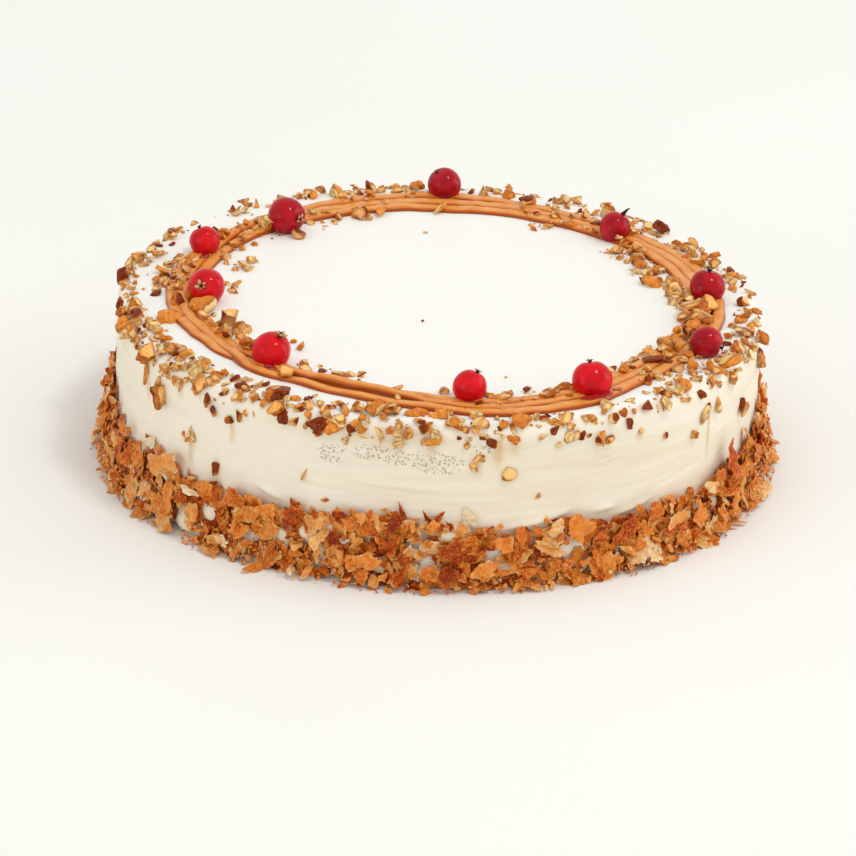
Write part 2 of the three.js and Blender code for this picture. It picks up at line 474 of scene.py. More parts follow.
@dataclass(frozen=True)
class Butterscotch:
    """Butterscotch of sugar, butter and cream, piped warm and set to a soft thread.

    To the eye it is a golden brown with a smooth gloss and fine lines drawn along it by the nozzle. It is
    painted deeper and more orange down its sides and darkest at its foot, as painted shade.
    """

    crest: str = "#E28C38"
    milky: str = "#EBA552"
    # The flank and foot colours are painted shade: sides and grooves are drawn darker than the top.
    shaded_flank: str = "#C86010"
    foot: str = "#A44C0E"
    cloud_size: float = 6 * MM
    line_size: float = 0.5 * MM  # between the lines that the nozzle drew
    line_stretch: float = 0.07  # how much slower they change along the thread

    def material(self) -> bpy.types.Material:
        """Makes the material, which reads the values crest and across."""
        mix = Recipe("Butterscotch_piped_in_threads")
        cloud = mix.add("TexNoise", {"Scale": 1 / self.cloud_size, "Detail": 4.0})
        top = mix.add("ValToRGB", {"stops": [(0.35, self.crest), (0.68, self.milky)]}, {0: cloud})
        # Painted shade: the crest value gives the top the lighter colours and the sides and foot darker
        # ones.
        crest = mix.add("Attribute", {"attribute_name": "crest"})
        side = mix.add("ValToRGB", {"stops": [(0.0, self.foot), (0.5, self.shaded_flank)]}, {0: crest})
        share = mix.add("Math", {"operation": "POWER", 1: 2.2}, {0: crest})
        colour = mix.add("Mix", {"data_type": "RGBA"}, {0: share, 6: side, 7: top})
        along = mix.add("VectorMath", {"operation": "SCALE", "Scale": self.line_stretch}, {0: mix.where})
        parts = mix.add("SeparateXYZ", links={0: along})
        across = mix.add("Attribute", {"attribute_name": "across"})
        drawn = mix.add("CombineXYZ", links={0: parts.outputs[0], 1: parts.outputs[1], 2: across})
        lines = mix.add("TexNoise", {"Scale": 1 / self.line_size, "Detail": 3.0}, {"Vector": drawn})
        normal = mix.add("Bump", {"Strength": 0.7, "Distance": 0.22 * MM}, {"Height": lines})
        gloss = mix.add("MapRange", {"To Min": 0.14, "To Max": 0.3, "clamp": False}, {0: cloud})
        flat_values = {
            "IOR": 1.48,
            "Specular IOR Level": 0.3,
            "Subsurface Weight": 0.2,
            "Subsurface Radius": (1.0, 0.5, 0.2),
            "Subsurface Scale": 1.2 * MM,
        }
        return mix.finish(colour, normal, gloss, flat_values)


@dataclass(frozen=True)
class RoastedNut:
    """Peanuts and hazelnuts, roasted golden in a sugar glaze and chopped coarsely.

    To the eye the outside is amber and dark at the edges, the broken faces are pale gold and waxy, the
    glaze glints, and some chips still carry their thin dark red-brown skin.
    """

    amber: str = "#FDB452"
    outside: str = "#E28C36"
    toasted: str = "#A04A10"
    broken: str = "#FFE4A0"
    broken_deep: str = "#FAA846"
    edge: str = "#7A2C02"
    skin: str = "#6E260B"
    skin_light: str = "#A04A18"
    mottle_size: float = 1.3 * MM
    crumb_size: float = 0.5 * MM

    def material(self) -> bpy.types.Material:
        """Makes the material, which reads the values cut, edge, skin and tone."""
        mix = Recipe("Roasted_nuts_glazed_and_coarsely_chopped")
        mottle = mix.add("TexNoise", {"Scale": 1 / self.mottle_size, "Detail": 4.0, "Roughness": 0.6})
        spotted = mix.add("MapRange", {"To Min": -0.45, "To Max": 0.75, "clamp": False}, {0: mottle})
        tone = mix.add("Attribute", {"attribute_name": "tone"})
        shade = mix.add("Math", {"operation": "MULTIPLY_ADD", 1: 0.62}, {0: tone, 2: spotted})
        stops = [(0.1, self.toasted), (0.62, self.outside), (1.0, self.amber)]
        outside = mix.add("ValToRGB", {"stops": stops}, {0: shade})
        broken = mix.add("ValToRGB", {"stops": [(0.1, self.broken_deep), (0.75, self.broken)]}, {0: shade})
        cut = mix.add("Attribute", {"attribute_name": "cut"})
        kernel = mix.add("Mix", {"data_type": "RGBA"}, {0: cut, 6: outside, 7: broken})
        edge = mix.add("Attribute", {"attribute_name": "edge"})
        strong = mix.add("MapRange", {"To Min": -0.2, "To Max": 1.5, "clamp": False}, {0: mottle})
        burnt = mix.add("Math", {"operation": "MULTIPLY"}, {0: edge, 1: strong})
        kernel = mix.add("Mix", {"data_type": "RGBA", 7: linear(self.edge)}, {0: burnt, 6: kernel})
        dark = mix.add("ValToRGB", {"stops": [(0.4, self.skin), (0.72, self.skin_light)]}, {0: mottle})
        skin = mix.add("Attribute", {"attribute_name": "skin"})
        colour = mix.add("Mix", {"data_type": "RGBA"}, {0: skin, 6: kernel, 7: dark})
        crumb = mix.add("TexNoise", {"Scale": 1 / self.crumb_size, "Detail": 4.0})
        normal = mix.add("Bump", {"Strength": 0.6, "Distance": 0.28 * MM}, {"Height": crumb})
        gloss = mix.add("MapRange", {"To Min": 0.12, "To Max": 0.42, "clamp": False}, {0: crumb})
        flat_values = {
            "IOR": 1.47,
            "Specular IOR Level": 0.12,
            "Subsurface Weight": 0.4,
            "Subsurface Radius": (1.0, 0.5, 0.2),
            "Subsurface Scale": 0.8 * MM,
        }
        return mix.finish(colour, normal, gloss, flat_values)


@dataclass(frozen=True)
class BrownedWafer:
    """Thin wafer batter baked crisp and brown, then crushed by hand.

    To the eye it is orange-brown and a little see-through, blistered by small bubbles that glint with
    sugar. The hollows between the blisters are painted darker, as painted shade, and the thin broken edges
    paler, as a painted highlight.
    """

    burnt: str = "#963400"
    dark: str = "#D05A0A"
    brown: str = "#F68E30"
    tan: str = "#FCB262"
    pale: str = "#FFE8C2"
    mottle_size: float = 2.4 * MM
    blister_size: float = 0.8 * MM
    crazing_size: float = 0.7 * MM
    grit_size: float = 0.32 * MM

    def material(self) -> bpy.types.Material:
        """Makes the material, which reads the values tone, rim and bubbly."""
        mix = Recipe("Crisp_wafer_baked_brown_and_crushed")
        mottle = mix.add("TexNoise", {"Scale": 1 / self.mottle_size, "Detail": 5.0, "Roughness": 0.6})
        cells = {"Scale": 1 / self.blister_size, "feature": "SMOOTH_F1", "Smoothness": 0.5}
        bubbly = mix.add("Attribute", {"attribute_name": "bubbly"})
        blisters = mix.add("TexVoronoi", cells)
        shaded_hollow = mix.add("Math", {"operation": "MULTIPLY"}, {0: blisters, 1: bubbly})
        spotted = mix.add("MapRange", {"To Min": -0.34, "To Max": 0.36, "clamp": False}, {0: mottle})
        tone = mix.add("Attribute", {"attribute_name": "tone"})
        baked = mix.add("Math", {"operation": "ADD"}, {0: tone, 1: spotted})
        # Crazing: fine lines and sugar grains, lighter and darker than the wafer round them.
        crazing = mix.add("TexNoise", {"Scale": 1 / self.crazing_size, "Detail": 5.0, "Roughness": 0.7})
        crazed = mix.add("MapRange", {"To Min": -0.3, "To Max": 0.36, "clamp": False}, {0: crazing})
        baked = mix.add("Math", {"operation": "ADD"}, {0: baked, 1: crazed})
        # Painted shade: the hollows between the blisters are drawn darker.
        shade = mix.add("Math", {"operation": "MULTIPLY_ADD", 1: -0.5}, {0: shaded_hollow, 2: baked})
        # Painted highlight: the thin broken edges are drawn paler, for light off and through them.
        rim = mix.add("Attribute", {"attribute_name": "rim"})
        patchy_paleness = mix.add("MapRange", {"To Min": -0.35, "To Max": 0.6, "clamp": False}, {0: mottle})
        edge = mix.add("Math", {"operation": "POWER", 1: 9.0}, {0: rim})
        shade = mix.add("Math", {"operation": "MULTIPLY_ADD"}, {0: edge, 1: patchy_paleness, 2: shade})
        shades = (self.burnt, self.dark, self.brown, self.tan, self.pale)
        stops = list(zip((0.0, 0.2, 0.45, 0.72, 1.0), shades))
        colour = mix.add("ValToRGB", {"stops": stops}, {0: shade})
        grit = mix.add("TexNoise", {"Scale": 1 / self.grit_size, "Detail": 3.0})
        swollen = mix.add("Math", {"operation": "SUBTRACT"}, {0: mottle, 1: shaded_hollow})
        normal = mix.add("Bump", {"Strength": 1.0, "Distance": 0.95 * MM}, {"Height": swollen})
        normal = mix.add(
            "Bump", {"Strength": 1.0, "Distance": 0.4 * MM}, {"Height": crazing, "Normal": normal}
        )
        normal = mix.add(
            "Bump", {"Strength": 0.8, "Distance": 0.2 * MM}, {"Height": grit, "Normal": normal}
        )
        gloss = mix.add("MapRange", {"To Min": 0.05, "To Max": 0.5, "clamp": False}, {0: grit})
        flat_values = {
            "IOR": 1.45,
            "Specular IOR Level": 0.3,
            "Subsurface Weight": 0.3,
            "Subsurface Radius": (1.0, 0.42, 0.12),
            "Subsurface Scale": 1.1 * MM,
        }
        return mix.finish(colour, normal, gloss, flat_values)


@dataclass(frozen=True)
class CurrantSkin:
    """The tight skin of a ripe red currant over its clear, juicy flesh.

    To the eye it is a deep wet red with a small sharp highlight, lighter where light comes back out of the
    flesh, with faint pale veins from the stalk to the dried flower.
    """

    colour: str
    deep: str
    vein: str = "#C42A33"
    veins: int = 10
    vein_wander: float = 3 * MM
    cloud_size: float = 4 * MM
    speck_size: float = 0.5 * MM

    def material(self, name: str) -> bpy.types.Material:
        """Makes the material under its own name; it reads turn_x and turn_y, the way round the berry."""
        mix = Recipe(name)
        turn_x = mix.add("Attribute", {"attribute_name": "turn_x"})
        turn_y = mix.add("Attribute", {"attribute_name": "turn_y"})
        turn = mix.add("Math", {"operation": "ARCTAN2"}, {0: turn_y, 1: turn_x})
        wave = mix.add("Math", {"operation": "MULTIPLY", 1: self.veins / 2}, {0: turn})
        wander = mix.add("TexNoise", {"Scale": 1 / self.vein_wander})
        bent = mix.add("Math", {"operation": "MULTIPLY_ADD", 1: 1.5}, {0: wander, 2: wave})
        line = mix.add(
            "Math", {"operation": "ABSOLUTE"}, {0: mix.add("Math", {"operation": "SINE"}, {0: bent})}
        )
        thin = mix.add("MapRange", {"From Max": 0.1, "To Min": 0.25, "To Max": 0.0}, {0: line})
        cloud = mix.add("TexNoise", {"Scale": 1 / self.cloud_size, "Detail": 3.0})
        flesh = mix.add("ValToRGB", {"stops": [(0.35, self.deep), (0.65, self.colour)]}, {0: cloud})
        colour = mix.add("Mix", {"data_type": "RGBA", 7: linear(self.vein)}, {0: thin, 6: flesh})
        speck = mix.add("TexNoise", {"Scale": 1 / self.speck_size})
        normal = mix.add("Bump", {"Strength": 0.08, "Distance": 0.08 * MM}, {"Height": speck})
        gloss = mix.add("MapRange", {"To Min": 0.03, "To Max": 0.1, "clamp": False}, {0: speck})
        flat_values = {
            "IOR": 1.4,
            "Specular IOR Level": 0.25,
            "Subsurface Weight": 0.5,
            "Subsurface Radius": (1.0, 0.08, 0.08),
            "Subsurface Scale": 2.0 * MM,
        }
        return mix.finish(colour, normal, gloss, flat_values)


@dataclass(frozen=True)
class DriedFlower:
    """The dried flower and stalk end that stay on a ripe currant.

    To the eye they are papery and straw-coloured at their tips, and dark brown in their folds.
    """

    tip: str = "#CFA877"
    middle: str = "#7A5233"
    fold: str = "#2C150C"
    crease_size: float = 0.5 * MM

    def material(self) -> bpy.types.Material:
        """Makes the material, which reads the value tip."""
        mix = Recipe("Dried_currant_flower")
        crease = mix.add("TexNoise", {"Scale": 1 / self.crease_size, "Detail": 3.0})
        wear = mix.add("MapRange", {"To Min": -0.35, "To Max": 0.35, "clamp": False}, {0: crease})
        patchy_paleness = mix.add(
            "Math", {"operation": "ADD"}, {0: mix.add("Attribute", {"attribute_name": "tip"}), 1: wear}
        )
        stops = [(0.1, self.fold), (0.5, self.middle), (0.95, self.tip)]
        colour = mix.add("ValToRGB", {"stops": stops}, {0: patchy_paleness})
        normal = mix.add("Bump", {"Strength": 0.6, "Distance": 0.15 * MM}, {"Height": crease})
        gloss = mix.add("MapRange", {"To Min": 0.6, "To Max": 0.85, "clamp": False}, {0: crease})
        return mix.finish(colour, normal, gloss, {"IOR": 1.45, "Specular IOR Level": 0.3})


@dataclass(frozen=True)
class CurrantJuice:
    """Juice that has run out of a currant on to the butterscotch: to the eye, a thin wet red film."""

    colour: str = "#8E0F14"
    thin: str = "#B8352A"
    cloud_size: float = 2 * MM

    def material(self) -> bpy.types.Material:
        """Makes the material."""
        mix = Recipe("Currant_juice_run_out")
        cloud = mix.add("TexNoise", {"Scale": 1 / self.cloud_size})
        colour = mix.add("ValToRGB", {"stops": [(0.3, self.colour), (0.7, self.thin)]}, {0: cloud})
        normal = mix.add("Bump", {"Strength": 0.2, "Distance": 0.2 * MM}, {"Height": cloud})
        gloss = mix.add("MapRange", {"To Min": 0.06, "To Max": 0.16, "clamp": False}, {0: cloud})
        return mix.finish(colour, normal, gloss, {"IOR": 1.36, "Coat Weight": 0.5, "Coat Roughness": 0.05})


# --- The cream coat -------------------------------------------------------------------


@dataclass(frozen=True)
class KnifeMark:
    """A ridge or groove that the palette knife left on the side. Its slope is how much it climbs."""

    bearing: float
    height: float
    length: float
    breadth: float
    relief: float
    slope: float = 0.0


@dataclass(frozen=True)
class SyrupAndShadowRun:
    """A run down the side below a nut, mostly of syrup and once of painted shadow: its top, length,
    breadth and strength.
    """

    bearing: float
    top: float
    length: float
    breadth: float
    strength: float


@dataclass(frozen=True)
class FrothPatch:
    """A patch of open air bubbles on the side: its middle and half its size."""

    bearing: float
    height: float
    half_length: float
    half_height: float


@dataclass(frozen=True)
class BareSpot:
    """A spot of cream that bulges out between the wafer flakes: its middle and half its size."""

    bearing: float
    height: float
    half_breadth: float
    half_height: float


@dataclass
class CreamCoat:
    """The whipped cream that covers the whole cake, sizes in millimetres."""

    bare_spots: tuple[BareSpot, ...]
    radius: float = CAKE_RADIUS
    height: float = CAKE_TOP
    rim_rounding: float = 4.5
    foot_rounding: float = 1.2
    columns: int = 560
    under_rows: int = 8
    foot_rows: int = 5
    side_rows: int = 66
    rim_rows: int = 12
    top_rows: int = 22
    under_start: float = 6.0  # the distance from the axis of the first row of the underside
    top_end: float = 2.5  # the distance from the axis of the last row of the top
    plain_foot: float = 2.0  # the height below which the relief fades out
    wander: float = 0.3
    wander_length: float = 70.0
    knife_wave: float = 0.035
    knife_wave_length: float = 7.0
    knife_wave_on_top: float = 0.4  # as a share of that on the side
    fine_wave: float = 0.04
    fine_wave_length: float = 2.6
    stroke_stretch: float = 0.12  # how much slower the knife's waves change along its stroke
    bulge: float = 2.4  # how far the cream bulges out between the flakes
    bulge_margin: float = 2.0  # how far the bulge runs in under the flakes
    seed: int = 3  # of the first of its three fields of waves
    syrup_and_shadow_start: tuple[float, float] = (-0.15, 0.05)  # as shares of the length of a run, like the next
    syrup_and_shadow_fade: tuple[float, float] = (0.3, 1.0)
    froth_fade: tuple[float, float] = (0.5, 1.15)  # as shares of half the size of a patch
    # Where the painted shade of the side begins.
    shade_start: tuple[float, float] = (0.3, 0.9)  # 0 being where the surface faces up, 1 outwards
    knife_marks: tuple[KnifeMark, ...] = rows_of(
        KnifeMark,
        # The lips of cream that swelled out above the wafer, bright along their top.
        (241.8, 23, 3.6, 0.55, 1.1, -0.26), (240, 24.2, 2.2, 0.4, 0.6, -0.2),
        (286.6, 19.6, 9.5, 0.75, 1.1, 0.13), (290.5, 21.4, 5, 0.5, 0.6, 0.16),
        (300.5, 20.6, 3.4, 0.6, 1, 0.05), (306.5, 18.6, 6, 0.6, 1.1, 0.16),
        (272.5, 19.4, 2.4, 0.6, 0.9, 0),
        # Long strokes between the bubbles and the wafer.
        (262, 31.8, 16, 0.45, 0.34, -0.05), (265, 30.2, 14, 0.45, -0.3, -0.06),
        (257, 33.6, 9, 0.4, 0.3, -0.03), (277, 27.6, 11, 0.5, 0.25, 0.03),
        (251, 28.6, 8, 0.4, -0.25, -0.05),
        # A nick and its raised edge, and a curved scratch below it.
        (300.5, 37.6, 4, 0.5, -0.55, 0.18), (300.5, 36.7, 4.4, 0.45, 0.5, 0.18),
        (294.2, 28.6, 2.4, 0.4, 0.5, 0.75), (292.2, 26.4, 1.4, 0.35, 0.4, 1.1),
        (284, 43.6, 6, 0.4, -0.3, 0.15), (312, 30.5, 12, 0.5, 0.22, 0.05),
        (316, 24.5, 9, 0.5, -0.3, 0.12), (305, 41, 8, 0.6, -0.3, -0.1), (331, 33, 7, 0.5, 0.3, 0.08),
        (236, 33, 9, 0.5, 0.28, -0.04), (222, 38, 7, 0.5, -0.25, 0.05), (206, 34, 8, 0.5, 0.25, 0),
    )
    syrup_and_shadow_runs: tuple[SyrupAndShadowRun, ...] = rows_of(
        SyrupAndShadowRun,
        (223.9, 33, 14, 1, 0.8), (229.8, 25.4, 5, 1.5, 0.8), (233.6, 41, 8, 0.8, 0.75),
        (222, 31.4, 3, 1.1, 0.6), (220.8, 47, 5.5, 1, 0.6), (210.9, 42, 9, 1.2, 0.55),
        (248.1, 32, 4, 1, 0.5), (264, 46.5, 6, 1.4, 0.55), (261, 45.5, 6, 2.2, 0.2),
        (269.6, 46, 5, 1.6, 0.55), (280.6, 47, 11, 1.5, 0.9), (277.2, 41.5, 8, 1.4, 0.7),
        # The run at 283 degrees from a height of 37 is painted shadow under the nut there.
        (283.4, 46, 6, 2, 0.4), (283, 37, 4.5, 1.5, 0.5), (291.1, 44.4, 3.5, 1, 0.5),
        (307, 43, 4, 1.3, 0.5), (324.6, 41, 20, 0.7, 0.85), (333, 46, 6, 1.2, 0.5),
        (196, 49, 9, 1.8, 0.45), (23, 45, 10, 1.2, 0.6), (64, 43, 12, 1, 0.6), (118, 44, 9, 1.2, 0.6),
        (150, 42, 13, 1, 0.6),
    )
    froth_patches: tuple[FrothPatch, ...] = rows_of(
        FrothPatch,
        (271, 39.5, 9, 4.6), (260.5, 41.8, 9, 3.4), (253, 40, 6.5, 3.6), (265, 40.5, 9, 3),
        (229, 44, 2.2, 2.2), (278, 44, 5, 2.6), (46, 38, 9, 4), (128, 40, 8, 3.6),
    )

    def profile(self) -> tuple[np.ndarray, np.ndarray, np.ndarray, np.ndarray]:
        """Draws the outline from the middle of the underside to the middle of the top.

        Returns:
            Distances from the axis, heights, and the two parts of the outward normal, all in millimetres.
        """
        foot_arc = np.radians(np.linspace(-90, 0, self.foot_rows))
        rim_arc = np.radians(np.linspace(0, 90, self.rim_rows))
        side_top = self.height - self.rim_rounding
        flat_radius = self.radius - self.rim_rounding
        under = np.linspace(self.under_start, self.radius - self.foot_rounding, self.under_rows)[:-1]
        foot = self.radius - self.foot_rounding + self.foot_rounding * np.cos(foot_arc)
        foot_height = self.foot_rounding * (1 + np.sin(foot_arc))
        side_height = np.linspace(self.foot_rounding, side_top, self.side_rows)[1:-1]
        rim = flat_radius + self.rim_rounding * np.cos(rim_arc)
        rim_height = side_top + self.rim_rounding * np.sin(rim_arc)
        top = np.linspace(flat_radius, self.top_end, self.top_rows)[1:]
        distances = np.concatenate([under, foot, np.full_like(side_height, self.radius), rim, top])
        heights = np.concatenate(
            [0 * under, foot_height, side_height, rim_height, np.full_like(top, self.height)]
        )
        outward = np.concatenate(
            [0 * under, np.cos(foot_arc), 0 * side_height + 1, np.cos(rim_arc), 0 * top]
        )
        upward = np.concatenate(
            [0 * under - 1, np.sin(foot_arc), 0 * side_height, np.sin(rim_arc), 0 * top + 1]
        )
        return distances, heights, outward, upward

    def relief(self, bearings: np.ndarray, distances: np.ndarray, heights: np.ndarray) -> np.ndarray:
        """How far the cream stands out of its true outline, in millimetres.

        Args:
            bearings: Bearings of the points, in degrees.
            distances: Their distances from the axis.
            heights: Their heights.

        Returns:
            The relief at each point, none on the underside.
        """
        points = on_circle(bearings, distances, heights)
        slow = points * [self.stroke_stretch, self.stroke_stretch, 0]
        slow[..., 2] = heights - distances
        side = smoothstep(self.radius - self.rim_rounding, self.radius, distances)
        free = smoothstep(0.0, self.plain_foot, heights)
        share = self.knife_wave_on_top + (1 - self.knife_wave_on_top) * side
        raised = self.wander * side * Waviness(self.seed, self.wander_length).at(points)
        raised += self.knife_wave * share * Waviness(self.seed + 1, self.knife_wave_length).at(slow)
        raised += self.fine_wave * Waviness(self.seed + 2, self.fine_wave_length).at(slow)
        for mark in self.knife_marks:
            along = np.radians(apart(bearings, mark.bearing)) * self.radius
            above = heights - mark.height - mark.slope * along
            raised += side * mark.relief * np.exp(
                -((along / mark.length) ** 4) - (above / mark.breadth) ** 2
            )
        bulged = np.zeros_like(raised)
        for spot in self.bare_spots:
            half_breadth = spot.half_breadth + self.bulge_margin
            along = np.radians(apart(bearings, spot.bearing)) * self.radius / half_breadth
            above = (heights - spot.height) / (spot.half_height + self.bulge_margin)
            bulged = np.maximum(bulged, side * np.exp(-((along**2 + above**2) ** 1.5)))
        return (raised + self.bulge * bulged) * free

    def syrup_and_shadow(self, bearings: np.ndarray, heights: np.ndarray) -> np.ndarray:
        """How much syrup stain, and in one spot painted shadow under a nut, lies on each point of the
        side, from
        0 to about 1.
        """
        wet = np.zeros_like(heights)
        for run in self.syrup_and_shadow_runs:
            along = np.radians(apart(bearings, run.bearing)) * self.radius
            below = (run.top - heights) / run.length
            # A run starts sharply at its nut and fades out over its lower part.
            fade = smoothstep(*self.syrup_and_shadow_start, below) * (1 - smoothstep(*self.syrup_and_shadow_fade, below))
            wet = np.maximum(wet, run.strength * fade * np.exp(-((along / run.breadth) ** 2)))
        return wet

    def froth(self, bearings: np.ndarray, heights: np.ndarray) -> np.ndarray:
        """How frothy each point of the side is, from 0 to 1."""
        frothy = np.zeros_like(heights)
        for patch in self.froth_patches:
            along = np.radians(apart(bearings, patch.bearing)) * self.radius / patch.half_length
            above = (heights - patch.height) / patch.half_height
            # The bubbles are even in the middle and thin out towards the rim of the patch.
            frothy = np.maximum(frothy, 1 - smoothstep(*self.froth_fade, np.hypot(along, above)))
        return frothy

    def seat(self, bearings: np.ndarray, distances: np.ndarray) -> tuple[np.ndarray, np.ndarray]:
        """Finds where something rests on the top or on the rounded rim.

        Args:
            bearings: Bearings, in degrees.
            distances: Distances from the axis. On the rim they are followed round its curve.

        Returns:
            The points and the outward normals there, in millimetres.
        """
        flat_radius = self.radius - self.rim_rounding
        over = np.clip((distances - flat_radius) / self.rim_rounding, 0, math.pi / 2)
        place = np.minimum(distances, flat_radius) + self.rim_rounding * np.sin(over)
        height = self.height - self.rim_rounding * (1 - np.cos(over))
        down = np.maximum(distances - flat_radius - self.rim_rounding * math.pi / 2, 0)
        points = on_circle(bearings, place, height - down)
        normals = on_circle(bearings, np.sin(over), np.cos(over))
        return points, normals

    def build(self) -> bpy.types.Object:
        """Builds the coat, dresses it and puts it in place of the plain drum."""
        distances, heights, outward, upward = self.profile()
        bearings = np.linspace(0, 360, self.columns, endpoint=False)
        turn, distance = np.meshgrid(bearings, distances)
        height = np.repeat(heights[:, None], self.columns, 1)
        raised = self.relief(turn, distance, height)
        points = on_circle(turn, distance + outward[:, None] * raised, height + upward[:, None] * raised)
        beyond = distance > self.radius - self.rim_rounding
        # The painted shade of the side, darker and warmer than the top, begins part of the way over
        # the rounded rim.
        shaded_wall = smoothstep(*self.shade_start, np.repeat(outward[:, None], self.columns, 1)) * beyond
        ends = np.array([[0, 0, 0], [0, 0, self.height]])
        values = {
            "shaded_wall": shaded_wall,
            "syrup_and_shadow": self.syrup_and_shadow(turn, height) * beyond,
            "froth": self.froth(turn, height) * beyond,
        }
        piece = make_piece(
            "whipped_cream_coat",
            np.vstack([points.reshape(-1, 3), ends]) * MM,
            closed_tube(len(distances), self.columns),
            WhippedCream().material(),
            {name: np.append(numbers.ravel(), [0, 0]) for name, numbers in values.items()},
        )
        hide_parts("cream_cake")
        return piece


# --- The butterscotch ring ------------------------------------------------------------


@dataclass(frozen=True)
class Thread:
    """One piped thread: its distance from the axis every 10 degrees, and its breadth every 30."""

    distances: tuple[float, ...]
    breadths: tuple[float, ...]


@dataclass
class ButterscotchRing:
    """Three threads of butterscotch piped side by side round the top, sizes in millimetres."""

    height: float = 1.45
    sunk: float = 0.25
    columns: int = 800
    sides: int = 15
    foot_breadth: float = 0.97  # of a thread, as a share of its breadth
    wobble: float = 0.12
    wobble_length: float = 9.0
    wobble_seed: int = 20  # of the first thread, like the other seeds
    swell: float = 0.04
    swell_length: float = 11.0
    swell_seed: int = 30
    crest_swell: float = 0.1
    crest_swell_length: float = 16.0
    crest_swell_seed: int = 40
    ripple: float = 0.05
    ripple_length: float = 5.0
    ripple_seed: int = 60
    overlap: float = 0.8  # how much nearer than side by side a thread must lie to ride up on another
    climb: float = 0.75  # how far it then rises, as a share of the other's height
    full_overlap: float = 0.8  # the share of the overlap at which it has risen all the way
    shoulder: tuple[float, float] = (0.75, 1.1)  # where a thread falls off, as shares of half its breadth
    squareness: tuple[float, float] = (0.8, 0.5)  # the powers across and up, 1 being a half round
    threads_laid: tuple[Thread, ...] = (
        # The inner thread.
        Thread(
            (
                80.0, 80.0, 79.9, 79.5, 78.9, 78.3, 78.2, 78.8, 78.6, 77.6, 79.4, 78.6,
                78.2, 78.2, 78.0, 77.5, 77.0, 77.0, 77.4, 77.0, 77.0, 77.4, 78.5, 78.3,
                78.3, 79.2, 80.4, 83.0, 85.8, 86.0, 85.2, 82.5, 80.5, 80.0, 80.0, 80.0,
            ),
            (4.3, 4.5, 5.0, 5.3, 5.0, 4.5, 4.1, 3.9, 3.8, 3.7, 4.0, 4.2),
        ),
        # The thread that is outermost on the left, and the middle one elsewhere.
        Thread(
            (
                83.6, 83.2, 83.6, 83.3, 82.0, 81.5, 81.6, 82.6, 83.3, 83.2, 83.8, 82.9,
                82.2, 82.5, 83.0, 83.6, 84.0, 84.1, 84.2, 84.5, 84.2, 83.5, 83.6, 81.5,
                79.8, 80.2, 81.6, 86.0, 90.5, 89.5, 88.5, 85.7, 83.8, 83.6, 83.8, 83.9,
            ),
            (4.3, 4.5, 5.0, 5.4, 5.0, 4.6, 4.3, 4.0, 3.8, 3.8, 4.1, 4.2),
        ),
        # The outer thread, which crosses to the middle on the left.
        Thread(
            (
                88.0, 87.2, 87.2, 86.9, 86.4, 86.0, 85.8, 87.0, 88.6, 89.9, 89.0, 87.2,
                86.2, 85.0, 83.2, 81.5, 80.9, 81.0, 81.4, 81.5, 80.8, 80.2, 82.0, 85.2,
                84.0, 85.5, 87.3, 90.4, 94.2, 94.0, 93.5, 89.5, 88.0, 87.8, 88.0, 88.2,
            ),
            (4.4, 4.5, 5.0, 5.4, 5.0, 4.5, 4.2, 4.0, 4.0, 4.0, 4.8, 4.4),
        ),
    )

    def threads(self, bearings: np.ndarray) -> list[tuple[np.ndarray, np.ndarray, np.ndarray]]:
        """Lays the threads, each over those before it.

        Args:
            bearings: Where to find them, in degrees, equally spaced round the whole circle.

        Returns:
            For each thread, its distance from the axis, its breadth, and how high its crest is.
        """
        laid: list[tuple[np.ndarray, np.ndarray, np.ndarray]] = []
        for index, thread in enumerate(self.threads_laid):
            track = around(thread.distances, bearings)
            places = on_circle(bearings, track, 0.0)
            track = track + self.wobble * Waviness(self.wobble_seed + index, self.wobble_length).at(places)
            swollen = 1 + self.swell * Waviness(self.swell_seed + index, self.swell_length).at(places)
            breadth = around(thread.breadths, bearings) * swollen
            lift = np.zeros_like(track)
            for other_track, other_breadth, other_crest in laid:
                reach = 0.5 * (breadth + other_breadth)
                share = np.clip(1 - np.abs(track - other_track) / (self.overlap * reach), 0, 1)
                lift = np.maximum(lift, other_crest * smoothstep(0.0, self.full_overlap, share))
            raised = Waviness(self.crest_swell_seed + index, self.crest_swell_length).at(places)
            crest = self.height * (1 + self.crest_swell * raised) + self.climb * lift
            laid.append((track, breadth, crest))
        return laid

    def resting_height(self, bearings: np.ndarray, distances: np.ndarray) -> np.ndarray:
        """How high above the cream something rests that lies on the ring, in millimetres.

        Args:
            bearings: Bearings, in degrees.
            distances: Distances from the axis.

        Returns:
            The height of the ring's surface there, or 0 beside it.
        """
        grid = np.linspace(0, 360, self.columns, endpoint=False)
        index = np.round(np.asarray(bearings) % 360 / 360 * self.columns).astype(int) % self.columns
        height = np.zeros_like(np.asarray(distances, float))
        for track, breadth, crest in self.threads(grid):
            across = np.abs(distances - track[index]) / (0.5 * breadth[index])
            height = np.maximum(height, crest[index] * (1 - smoothstep(*self.shoulder, across)))
        return height

    def build(self) -> bpy.types.Object:
        """Builds the ring, dresses it and puts it in place of the plain one."""
        bearings = np.linspace(0, 360, self.columns, endpoint=False)
        foot = np.array([-1.0, 0.0, 1.0]) * self.foot_breadth
        turn = np.linspace(0, math.pi, self.sides - len(foot))
